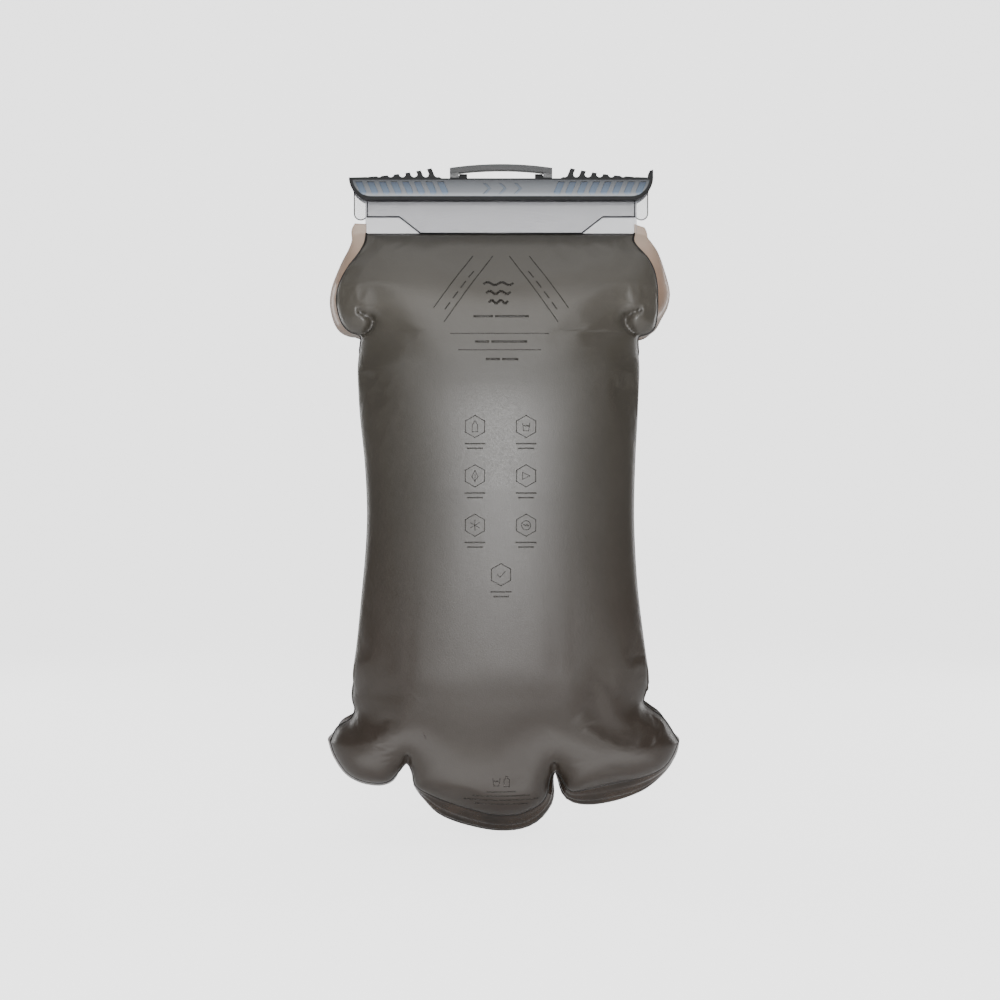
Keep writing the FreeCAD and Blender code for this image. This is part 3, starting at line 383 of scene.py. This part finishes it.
def smooth_path(points, count):
    """Points evenly spaced along a smooth curve through the given ones."""
    ends = [2 * Vector(points[0]) - Vector(points[1])] + [Vector(p) for p in points]
    ends.append(2 * Vector(points[-1]) - Vector(points[-2]))
    fine = []
    for a, b, c, d in zip(ends, ends[1:], ends[2:], ends[3:]):
        for step in range(12):
            t = step / 12
            fine.append(0.5 * ((2 * b) + (c - a) * t + (2 * a - 5 * b + 4 * c - d) * t * t
                               + (3 * b - a - 3 * c + d) * t ** 3))
    fine.append(Vector(points[-1]))
    fine = np.array([tuple(p) for p in fine])
    run = np.concatenate([[0], np.cumsum(np.linalg.norm(np.diff(fine, axis=0), axis=1))])
    wanted = np.linspace(0, run[-1], count)
    return np.stack([np.interp(wanted, run, fine[:, axis]) for axis in range(fine.shape[1])], axis=1)


def lookup(table, x):
    """A smooth value between the table's (place, value) rows, which may run either way."""
    rows = sorted(table)
    places = np.array([r[0] for r in rows], float)
    values = np.array([r[1] for r in rows], float)
    x = np.clip(x, places[0], places[-1])
    index = np.clip(np.searchsorted(places, x) - 1, 0, len(rows) - 2)
    t = (x - places[index]) / (places[index + 1] - places[index])
    slopes = np.gradient(values, places)
    width = places[index + 1] - places[index]
    rise = values[index + 1] - values[index]
    low, high = slopes[index] * width, slopes[index + 1] * width
    same_way = np.sign(low) == np.sign(rise)
    low = np.where(same_way, np.sign(low) * np.minimum(abs(low), 3 * abs(rise)), 0)
    same_way = np.sign(high) == np.sign(rise)
    high = np.where(same_way, np.sign(high) * np.minimum(abs(high), 3 * abs(rise)), 0)
    return (values[index] * (2 * t ** 3 - 3 * t ** 2 + 1) + low * (t ** 3 - 2 * t ** 2 + t)
            + values[index + 1] * (3 * t ** 2 - 2 * t ** 3) + high * (t ** 3 - t ** 2))


COLUMNS, ROWS, STRANDS = 121, 221, 49
FIN_ROWS, FIN_TOP = 6, -31.5    # rows and upper end of the gusset film beside the collar
WELD_ANGLE = math.radians(88.7)     # how far a panel has turned from its middle to its weld
TUCK_ANGLE = math.radians(24)       # how much further it turns where the weld is tucked in behind
FULL_DEPTH_REACH = 66.696           # the film stands at its full depth this far in from a weld
MOUTH_REACH = 32                    # the ribbon is at its full width this far below the mouth
SETTLING = {"quality": 4, "mass": 0.4, "tension_stiffness": 40, "compression_stiffness": 40, "shear_stiffness": 20,
            "bending_stiffness": 2, "shrink_min": -0.012, "use_pressure": True, "uniform_pressure_force": 4,
            "vertex_group_mass": "held"}
SETTLING_FRAMES = 20
MOST_SETTLING = 2.0                 # the film moves no further than this


def tucked(z):
    """1 where the weld is tucked in behind the filled middle, 0 at the ears and the foot."""
    share = np.clip((-102 - z) / 18, 0, 1) * np.clip((z + 306) / 22, 0, 1)
    return share * share * (3 - 2 * share)


def panel_plan():
    """Each grid point's place in the front view.  Points crowd towards the welds, where the film turns."""
    even = np.linspace(-1, 1, COLUMNS)
    across = np.sin(even * WELD_ANGLE) / math.sin(WELD_ANGLE)
    down = np.linspace(0, 1, ROWS)
    down = 1 - (1 - down) ** 1.35
    left = smooth_path(LEFT_EDGE, 2000)
    right = smooth_path(RIGHT_EDGE, 2000)
    foot = smooth_path(FOOT_EDGE, 2000)
    pick = np.linspace(0, 1, 2000)
    edge_l = np.stack([np.interp(down, pick, left[:, k]) for k in (0, 1)], axis=1)
    edge_r = np.stack([np.interp(down, pick, right[:, k]) for k in (0, 1)], axis=1)
    share = (across + 1) / 2
    base = np.stack([np.interp(share, pick, foot[:, k]) for k in (0, 1)], axis=1)
    top = np.stack([edge_l[0, 0] + (edge_r[0, 0] - edge_l[0, 0]) * share, np.full(COLUMNS, MOUTH)], axis=1)
    u, v = share[None, :, None], down[:, None, None]
    # the foot's lobes only reach a little way up the panel
    reach = np.clip((v - 0.55) / 0.45, 0, 1) ** 2
    flat_foot = (1 - u) * edge_l[-1] + u * edge_r[-1]
    # round the filled middle, the film turns past its widest line and tucks its weld in behind
    turn = WELD_ANGLE + TUCK_ANGLE * tucked(edge_l[:, 1])[:, None]
    wound = (np.sin(even * turn) + 1) / 2
    u_side = wound[:, :, None]
    sides = (1 - u_side) * edge_l[:, None, :] + u_side * edge_r[:, None, :]
    return sides + (1 - v) * (top[None] - (1 - u) * edge_l[0] - u * edge_r[0]) + reach * (base[None] - flat_foot)


def nearness(points, lines):
    """A soft distance from each point to the welds: near one it is the plain distance, and it turns smoothly
    where two welds are equally near."""
    total = np.zeros(len(points))
    for line, weight in lines:
        middle = (line[1:] + line[:-1]) / 2
        length = np.linalg.norm(np.diff(line, axis=0), axis=1)
        for start in range(0, len(middle), 50):
            gap = points[:, None, :] - middle[None, start:start + 50]
            square = np.maximum((gap ** 2).sum(2), 0.04)
            total += weight * (length[start:start + 50] / square ** 2).sum(1)
    return (total * 2 / math.pi) ** (-1 / 3)


def panel_depth(plan):
    """How far the filled panel stands out from the bag's middle plane at each point of its plan."""
    flat = plan.reshape(-1, 2)
    lines = [(smooth_path(edge, 500), 1) for edge in (LEFT_EDGE, RIGHT_EDGE, FOOT_EDGE)]
    lines += [(smooth_path(points, 40), pull) for points, pull in FOLDS]
    near = nearness(flat, lines).reshape(plan.shape[:2])
    z = plan[:, :, 1]
    rise = np.sqrt(1 - (1 - np.clip(near / FULL_DEPTH_REACH, 0, 1)) ** 2)
    middle = lookup(DEPTHS, z)
    edge = RIBBON_HALF * np.clip((MOUTH - z) / MOUTH_REACH, 0, 1) ** 0.8
    edge = np.minimum(edge + 0.6, middle)
    depth = edge + (middle - edge) * rise
    # where the film turns past its widest line, its section is an ellipse down to the weld
    wrap = tucked(z)
    angle = np.linspace(-1, 1, COLUMNS)[None] * (WELD_ANGLE + TUCK_ANGLE * wrap)
    last = np.cos(WELD_ANGLE + TUCK_ANGLE * wrap)
    round_depth = edge + (middle - edge) * (np.cos(angle) - last) / (1 - last)
    depth = depth * (1 - wrap) + round_depth * wrap
    depth[:, 0] = edge[:, 0]
    depth[:, -1] = edge[:, -1]
    depth[-1, :] = edge[-1, :]
    return depth


def grid(bm, places, flip=False):
    """A grid of faces moved onto the given places; it returns each vertex's row and column, in their order."""
    rows, columns = places.shape[:2]
    bmesh.ops.create_grid(bm, x_segments=columns - 1, y_segments=rows - 1, size=1)
    spots = []
    for vert in bm.verts:
        spots.append((round((1 - vert.co.y) / 2 * (rows - 1)), round((vert.co.x + 1) / 2 * (columns - 1))))
        vert.co = places[spots[-1]]
    if flip:
        bmesh.ops.reverse_faces(bm, faces=bm.faces)
    return np.array(spots)


def settled(places):
    """How far each point of a panel moves outwards as its film takes up the water's pressure, held at the mouth
    and the welds: the little creases that run in from the pinches and tucks come from this."""
    bm = bmesh.new()
    spots = grid(bm, places * MM)
    mesh = bpy.data.meshes.new("settling_film")
    bm.to_mesh(mesh)
    bm.free()
    film = bpy.data.objects.new("settling_film", mesh)
    scene = bpy.context.scene
    scene.collection.objects.link(film)
    at_rim = (spots[:, 0] % (ROWS - 1) == 0) | (spots[:, 1] % (COLUMNS - 1) == 0)
    held = film.vertex_groups.new(name="held")
    held.add([int(vert) for vert in np.flatnonzero(at_rim)], 1.0, "REPLACE")
    cloth = film.modifiers.new("film", "CLOTH")
    for name, value in SETTLING.items():
        setattr(cloth.settings, name, value)
    cloth.settings.effector_weights.gravity = 0
    cloth.collision_settings.use_collision = False
    for number in range(1, SETTLING_FRAMES + 1):
        scene.frame_set(number)
    moved = film.evaluated_get(bpy.context.evaluated_depsgraph_get())
    start, end = (np.array([vert.co.y for vert in data.vertices]) / MM for data in (mesh, moved.data))
    scene.frame_set(1)
    bpy.data.objects.remove(film)
    shift = np.zeros(places.shape[:2])
    shift[spots[:, 0], spots[:, 1]] = MOST_SETTLING * np.tanh((start - end) / MOST_SETTLING)
    return shift


def rim(places):
    """The weld line of a panel: down its left edge, along its foot and up its right edge."""
    return np.concatenate([places[:-1, 0], places[-1, :-1], places[::-1, -1]])


def ribbon_places(front, back):
    """The gusset ribbon from the front weld to the back one, swelling out between them."""
    start, end = rim(front), rim(back)
    side, foot = ROWS - 1, COLUMNS - 1
    swell = np.concatenate([lookup(LEFT_SWELL, np.linspace(0, 1, side, endpoint=False)),
                            lookup(FOOT_SWELL, np.linspace(0, 1, foot, endpoint=False)),
                            lookup(RIGHT_SWELL, np.linspace(1, 0, side + 1))])
    along = np.gradient(start, axis=0)
    outward = np.stack([along[:, 2], np.zeros(len(along)), -along[:, 0]], axis=1)
    outward /= np.maximum(np.linalg.norm(outward, axis=1), 1e-6)[:, None]
    for _ in range(12):
        outward[1:-1] = (outward[:-2] + outward[1:-1] * 2 + outward[2:]) / 4
    outward /= np.maximum(np.linalg.norm(outward, axis=1), 1e-6)[:, None]
    across = np.linspace(-1, 1, STRANDS)
    share = (across + 1) / 2
    bow = 1 - across ** 2
    # lengthwise wrinkles, which wander and merge along the foot's lobes
    run = np.arange(len(swell))[:, None] / 40
    folds = np.cos((across + 0.07 * np.sin(run * 2.1)) * math.pi * 6.4 + 0.8 * np.sin(run * 1.3))
    depth = 0.9 * np.clip((swell - 3) / 6, 0, 1) * np.clip((-320 - start[:, 2]) / 20, 0, 1)
    stand_out = (swell[:, None] + folds * depth[:, None]) * bow
    places = start[:, None] + (end - start)[:, None] * share[None, :, None]
    places = places + outward[:, None] * stand_out[:, :, None]
    # above the mouth the film runs on beside the collar as a narrowing flat fin
    fins = []
    for first in (places[0], places[-1]):
        steps = np.linspace(1, 0, FIN_ROWS, endpoint=False)[:, None]
        reach = (first[:, 0] - first[0, 0]) * (1 - 0.25 * steps ** 2)
        z = first[:, 2] + (FIN_TOP - MOUTH) * steps
        fins.append(np.stack([first[0, 0] + reach, np.broadcast_to(first[:, 1], z.shape), z], axis=2))
    return np.concatenate([fins[0], places, fins[1][::-1]])


def bag_places():
    plan = panel_plan()
    depth = panel_depth(plan)
    front = np.stack([plan[:, :, 0], -depth, plan[:, :, 1]], axis=2)
    depth = depth + settled(front)
    front[:, :, 1] = -depth
    gap = np.hypot(plan[:, :, 0], plan[:, :, 1] - PORT_Z)
    seat = np.clip((gap - FLANGE_RADIUS - 1) / 16, 0, 1)
    seat = seat * seat * (3 - 2 * seat)
    back_depth = (BELLY - 0.15) * (1 - seat) + depth * seat
    back = np.stack([plan[:, :, 0], back_depth, plan[:, :, 1]], axis=2)
    return front, back


def build_bag():
    """The front panel, the back panel and the gusset ribbon, each its own film piece."""
    front, back = bag_places()
    ribbon = ribbon_places(front, back)
    pieces = {}
    side = ROWS - 1 + FIN_ROWS
    foot = COLUMNS - 1
    spans = {
        "side_gusset_left": ribbon[:side + 1],
        "bottom_gusset": ribbon[side:side + foot + 1],
        "side_gusset_right": ribbon[side + foot:],
    }
    for name, places, flip in (("front_panel", front, False), ("back_panel", back, True)):
        bm = bmesh.new()
        grid(bm, places, flip)
        pieces[name] = finish_film(name, bm, FILM_FRONT)
    for name, places in spans.items():
        bm = bmesh.new()
        grid(bm, places)
        pieces[name] = finish_film(name, bm, FILM_GUSSET)
    for name, line in (("front_weld", rim(front)), ("rear_weld", rim(back))):
        add_weld(name, line)
    return pieces


def finish_film(name, bm, material):
    piece = finish_piece(f"{name}_film", bm, material, "bag", (name,))
    thick = piece.modifiers.new("film", "SOLIDIFY")
    thick.thickness = FILM * MM
    thick.offset = -1
    return piece


def add_weld(name, line):
    """A round bead along a weld line, standing just proud of the film."""
    curve = bpy.data.curves.new(name, "CURVE")
    curve.dimensions = "3D"
    curve.bevel_depth = WELD_RADIUS * MM
    curve.bevel_resolution = 2
    spline = curve.splines.new("POLY")
    spline.points.add(len(line) - 1)
    for point, place in zip(spline.points, line):
        point.co = (*(place * MM), 1)
    piece = bpy.data.objects.new(f"{name}_source", curve)
    mesh = bpy.data.meshes.new_from_object(piece)
    bpy.data.objects.remove(piece)
    bm = bmesh.new()
    bm.from_mesh(mesh)
    bpy.data.meshes.remove(mesh)
    bmesh.ops.scale(bm, vec=(1 / MM, 1 / MM, 1 / MM), verts=bm.verts)
    return finish_piece(name, bm, FILM_WELD, "bag", ())


BAG = build_bag()


# ---- screen print on the front panel ---------------------------------------------------------------------

LINE = 0.5                  # width of the printed lines
PROUD = 0.12                # how far the ink stands off the film, so that both show


def front_surface():
    """Finds the front panel's face under a point given in the front view."""
    film = BAG["front_panel"]
    bm = bmesh.new()
    bm.from_mesh(film.data)
    tree = BVHTree.FromBMesh(bm)
    bm.free()

    def depth_at(x, z):
        hit = tree.ray_cast(Vector((x * MM, -1.0, z * MM)), Vector((0, 1, 0)))
        return hit[0].y / MM
    return depth_at


def add_stroke(bm, depth_at, points, width=LINE, closed=False):
    """A strip of ink along a run of points in the front view, laid on the film."""
    spots = [Vector(p) for p in points]
    if closed:
        spots = spots + spots[:2]
    for start, end in zip(spots, spots[1:len(spots) - 1] if closed else spots[1:]):
        way = (end - start).normalized()
        side = Vector((-way.y, way.x)) * (width / 2)
        start_at, end_at = start - way * width / 2, end + way * width / 2
        steps = max(1, round((end_at - start_at).length / 2.5))
        made = bmesh.ops.create_grid(bm, x_segments=1, y_segments=steps, size=1)["verts"]
        for vert in made:
            spot = start_at.lerp(end_at, (vert.co.y + 1) / 2) + side * -vert.co.x
            vert.co = (spot.x, depth_at(spot.x, spot.y) - PROUD, spot.y)


def ring(x, z, radius, sides=24, turn=0.0):
    return [(x + radius * math.sin(turn + math.tau * k / sides), z + radius * math.cos(turn + math.tau * k / sides))
            for k in range(sides)]


def wave(x, z, length, height):
    return [(x + length * (k / 12 - 0.5), z + height * math.sin(math.tau * k / 6)) for k in range(13)]


def pictogram(bm, depth_at, kind, x, z):
    """A plain sign of the hexagon's subject: what the reservoir holds, and how it is filled, cooled and washed."""
    def stroke(points, closed=False, width=LINE * 0.8):
        add_stroke(bm, depth_at, points, width, closed)
    if kind == "bottle":
        stroke([(x - 1.5, z - 3), (x - 1.5, z + 1), (x - 0.6, z + 2), (x - 0.6, z + 3), (x + 0.6, z + 3),
                (x + 0.6, z + 2), (x + 1.5, z + 1), (x + 1.5, z - 3)], closed=True)
    elif kind == "cup":
        stroke([(x - 2, z + 2), (x - 1.4, z - 2.4), (x + 1.4, z - 2.4), (x + 2, z + 2)])
        stroke(wave(x, z + 0.4, 2.8, 0.3))
    elif kind == "leaf":
        stroke([(x, z - 3), (x - 1.7, z - 0.6), (x, z + 3), (x + 1.7, z - 0.6)], closed=True)
        stroke([(x, z - 3), (x, z + 1)])
    elif kind == "fill":
        stroke([(x - 2, z + 2), (x + 2, z), (x - 2, z - 2)], closed=True)
    elif kind == "cold":
        for number in range(3):
            angle = math.pi * number / 3
            across = (2.8 * math.sin(angle), 2.8 * math.cos(angle))
            stroke([(x - across[0], z - across[1]), (x + across[0], z + across[1])])
    elif kind == "wash":
        stroke(ring(x, z, 2.6, 12), closed=True)
        stroke(wave(x, z, 3.2, 0.4))
    else:
        stroke([(x - 2, z), (x - 0.6, z - 1.6), (x + 2.2, z + 1.8)])


def add_print():
    """The front's screen print: slanted rules, a wave badge, rules and bars, and seven signs in hexagons."""
    depth_at = front_surface()
    bm = bmesh.new()
    for side in (-1, 1):
        for start, end in (((-16.5, -52.6), (-38.0, -84.2)), ((-5.0, -52.6), (-32.0, -92.5))):
            add_stroke(bm, depth_at, [(-side * start[0], start[1]), (-side * end[0], end[1])], LINE * 1.2)
        for share in (0.2, 0.4, 0.6, 0.8):
            x, z = -(11.5 + share * 22), -56.0 - share * 32
            add_stroke(bm, depth_at, [(-side * x, z), (-side * (x - 2.4), z - 3.5)], LINE * 1.5)
    for row in range(3):
        add_stroke(bm, depth_at, wave(-1.5, -70 - row * 5.5, 16 - row * 3, 0.9), 1.3)
    for z, half in ((-99.5, 27.5), (-108.9, 23)):
        add_stroke(bm, depth_at, [(-0.8 - half, z), (-0.8 + half, z)], LINE)
    for z, halves in ((-89.5, (-15, -4, 15)), (-104.2, (-14, -6, 14)), (-114.2, (-8, 0, 9))):
        start, gap, end = halves
        add_stroke(bm, depth_at, [(start, z), (gap - 1.2, z)], 1.3)
        add_stroke(bm, depth_at, [(gap + 1.2, z), (end, z)], 1.3)
    signs = ("bottle", "cup", "leaf", "fill", "cold", "wash", "tick")
    for number, kind in enumerate(signs):
        last = number == len(signs) - 1
        x = 0.0 if last else (-14.6, 14.0)[number % 2]
        z = -152.2 - 27.6 * (number // 2)
        add_stroke(bm, depth_at, ring(x, z, 6.2, 6), LINE, closed=True)
        pictogram(bm, depth_at, kind, x, z)
        for row, half in enumerate((5.4, 4.0)):
            add_stroke(bm, depth_at, [(x - half, z - 9.6 - 2.6 * row), (x + half, z - 9.6 - 2.6 * row)], 0.8)
    pictogram(bm, depth_at, "cup", -2.6, -352.5)
    pictogram(bm, depth_at, "bottle", 3.2, -352.5)
    for row, half in enumerate((8, 16, 21, 15)):
        z = -358.6 - 2.6 * row
        add_stroke(bm, depth_at, [(-half, z), (half, z)], 0.7)
    piece = finish_piece("front_print", bm, INK_FILM, "bag", ())
    thick = piece.modifiers.new("ink", "SOLIDIFY")
    thick.thickness = INK * MM


add_print()


# ---- springs ---------------------------------------------------------------------------------------------

def add_tube(name, line, radius, material, body, stands_for):
    """A round tube of eight sides along a line, closed at both ends."""
    bm = bmesh.new()
    last = len(line) - 1
    before = []
    for number, place in enumerate(line):
        ahead = line[min(number + 1, last)] - line[max(number - 1, 0)]
        turn = ahead.to_track_quat("Z", "Y").to_matrix().to_4x4()
        ring = bmesh.ops.create_circle(bm, cap_ends=number in (0, last), segments=8, radius=radius,
                                       matrix=Matrix.Translation(place) @ turn)["verts"]
        edges = list({edge for vert in ring for edge in vert.link_edges})
        if before:
            bmesh.ops.bridge_loops(bm, edges=before + edges)
        before = edges
    bmesh.ops.recalc_face_normals(bm, faces=bm.faces)
    return finish_piece(name, bm, material, body, stands_for)


def add_coil(node, body, axis, turns, wire):
    """A compression spring of round wire, with closed end turns, in the space of its packed stand-in."""
    low, high = box_mm(node)
    middle = (low + high) / 2
    radius = (high - low).x / 2 - wire / 2
    climb = (high - low)[axis] - 3 * wire
    closed = 0.75               # turns that lie flat at each end, one wire's height each
    second = 1 if axis == 2 else 2
    line = []
    for turn in np.linspace(0, turns, turns * 28 + 1):
        place = middle.copy()
        place.x += radius * math.cos(math.tau * turn)
        place[second] += radius * math.sin(math.tau * turn)
        height = np.interp(turn, [0, closed, turns - closed, turns],
                           [0, wire, wire + climb, 2 * wire + climb])
        place[axis] = low[axis] + wire / 2 + height
        line.append(place)
    add_tube(f"{node}_coil", line, wire / 2, WIRE, body, (node,))


add_coil("button_spring", "button", 2, 5, 0.35)
add_coil("valve_spring", "valve", 1, 4, 0.5)


# ---- moulded pieces kept from the frame, with softened edges ---------------------------------------------

def soften(node, material, body, edge_mm):
    """A copy of a moulded piece with small rounded edges, which the light catches."""
    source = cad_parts[node]
    bm = bmesh.new()
    bm.from_mesh(source.data)
    bmesh.ops.remove_doubles(bm, verts=bm.verts, dist=1e-6)
    bmesh.ops.dissolve_limit(bm, angle_limit=math.radians(1), verts=bm.verts, edges=bm.edges)
    bmesh.ops.scale(bm, vec=(1 / MM, 1 / MM, 1 / MM), verts=bm.verts)
    piece = finish_piece(f"{node}_moulding", bm, material, body, (node,))
    edges = piece.modifiers.new("edges", "BEVEL")
    edges.width = edge_mm * MM
    edges.segments = 2
    edges.limit_method = "ANGLE"
    edges.angle_limit = math.radians(30)
    edges.use_clamp_overlap = True
    shade = piece.modifiers.new("shade", "WEIGHTED_NORMAL")
    shade.keep_sharp = True


soften("slide_closure", CLOSURE, "closure", 0.3)
soften("hanger_bail", HANGER, "hanger", 0.45)

PLAIN = {
    "front_collar": FILM_CLEAR, "rear_collar": FILM_CLEAR, "front_lip_rail": RAIL_CLEAR,
    "rear_lip_rail": RAIL_CLEAR, "front_stiffener": PLATE_CLEAR, "rear_stiffener": PLATE_CLEAR,
    "port_flange": PORT, "port_socket": PORT, "socket_o_ring": SEAL, "release_button": BUTTON,
    "valve_poppet": VALVE, "poppet_o_ring": SEAL, "valve_cage": VALVE,
}
for node, material in PLAIN.items():
    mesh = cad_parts[node].data
    mesh.materials.clear()
    mesh.materials.append(material)


def add_plate_edge_shade(node):
    """Painted shade: dark tubes along the outline of a clear plate's front face, where its cut edge looks dark as
    light leaves the sheet edgeways.
    """
    front = box_mm(node)[0].y
    bm = bmesh.new()
    bm.from_mesh(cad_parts[node].data)
    bmesh.ops.scale(bm, vec=(1 / MM, 1 / MM, 1 / MM), verts=bm.verts)
    bmesh.ops.remove_doubles(bm, verts=bm.verts, dist=0.001)
    outline = [[vert.co.copy() for vert in edge.verts] for edge in bm.edges
               if all(abs(vert.co.y - front) < 0.01 for vert in edge.verts)
               and any(abs(face.normal.y) < 0.5 for face in edge.link_faces)]
    bm.clear()
    for first, second in outline:
        way = second - first
        turn = way.to_track_quat("Z", "Y").to_matrix().to_4x4()
        bmesh.ops.create_cone(bm, cap_ends=True, segments=8, radius1=EDGE_RADIUS, radius2=EDGE_RADIUS,
                              depth=way.length + 0.3, matrix=Matrix.Translation((first + second) / 2) @ turn)
    finish_piece(f"{node}_edge_shade_line", bm, PLATE_EDGE_SHADE, "bag", ())


# painted shade lines along the stiffeners' edges
add_plate_edge_shade("front_stiffener")
add_plate_edge_shade("rear_stiffener")


# ---- the stage -------------------------------------------------------------------------------------------

COVE_GLOW = 2.2             # how bright the white cove looks; little of its light reaches the object


def seen_glow(owner, cast):
    """How bright the stage looks to the camera, and the light that it casts on the object."""
    seen = add_node(owner, "ShaderNodeLightPath", {})["Is Camera Ray"]
    return add_node(owner, "ShaderNodeMapRange", {0: seen, 3: cast, 4: COVE_GLOW})[0]


def add_cove():
    """A pale floor that curves up into a wall behind the object, glowing softly as a lit cove does."""
    reach, bend_start, bend, height = 4.0, 1.2, 1.0, 3.0
    floor_z = cad_box[0][2] - 0.003
    bm = bmesh.new()
    made = bmesh.ops.create_grid(bm, x_segments=1, y_segments=40, size=1)["verts"]
    for vert in made:
        along = (vert.co.y + 1) / 2 * (reach + bend_start + bend * math.pi / 2 + height)
        turn = min(max((along - reach - bend_start) / bend, 0), math.pi / 2)
        flat = min(along - reach, bend_start)
        rise = max(along - reach - bend_start - bend * math.pi / 2, 0)
        z = floor_z + bend * (1 - math.cos(turn)) + rise
        vert.co = (vert.co.x * reach, flat + bend * math.sin(turn), z)
    mesh = bpy.data.meshes.new("cove")
    bm.to_mesh(mesh)
    bm.free()
    cove = bpy.data.objects.new("cove", mesh)
    bpy.context.scene.collection.objects.link(cove)
    for face in mesh.polygons:
        face.use_smooth = True
    material, shader = new_material("matt_white_cove", roughness=0.9, colour="#f2f2f2")
    shader["Emission Color"].default_value = (1, 1, 1, 1)
    feed(material, shader["Emission Strength"], seen_glow(material, 0.1))
    mesh.materials.append(material)


def add_light(name, place, target, size, power):
    """A soft rectangular light, which the camera itself doesn't see."""
    light = bpy.data.lights.new(name, "AREA")
    light.shape = "RECTANGLE"
    light.size, light.size_y = size
    light.energy = power
    lamp = bpy.data.objects.new(name, light)
    lamp.visible_camera = False
    lamp.location = place
    lamp.rotation_euler = (Vector(target) - Vector(place)).to_track_quat("-Z", "Y").to_euler()
    bpy.context.scene.collection.objects.link(lamp)


def add_camera():
    """Level with the middle of the picture, close enough to see the underside of the closure."""
    data = bpy.data.cameras.new("camera")
    data.lens = 55.2
    data.sensor_width = 36
    camera = bpy.data.objects.new("camera", data)
    camera.location = (-0.0006, -0.9, -0.1933)
    camera.rotation_euler = (math.pi / 2, 0, 0)
    bpy.context.scene.collection.objects.link(camera)
    bpy.context.scene.camera = camera


def add_world():
    world = bpy.data.worlds.new("studio")
    world.use_nodes = True
    background = world.node_tree.nodes["Background"].inputs
    background["Color"].default_value = (1, 1, 1, 1)
    feed(world, background["Strength"], seen_glow(world, 0.16))
    bpy.context.scene.world = world


add_cove()
add_world()
add_camera()
MIDDLE = (0, 0, -0.2)
add_light("front_softbox", (0, -1.5, -0.03), MIDDLE, (0.56, 0.4), 14)
add_light("upper_softbox", (-0.08, -1.15, 0.72), (0, 0, -0.1), (1.15, 0.5), 7)
add_light("floor_bounce", (0, -0.075, -0.386), (0, -0.075, 0), (0.26, 0.06), 0.07)
add_light("top_softbox", (0, 0.1, 1.3), (0, 0.1, -0.39), (1.6, 1.6), 8)
for side in (-1, 1):
    add_light(f"edge_strip_{side}", (side * 0.9, 0.6, -0.1), MIDDLE, (0.2, 0.9), 3.5)
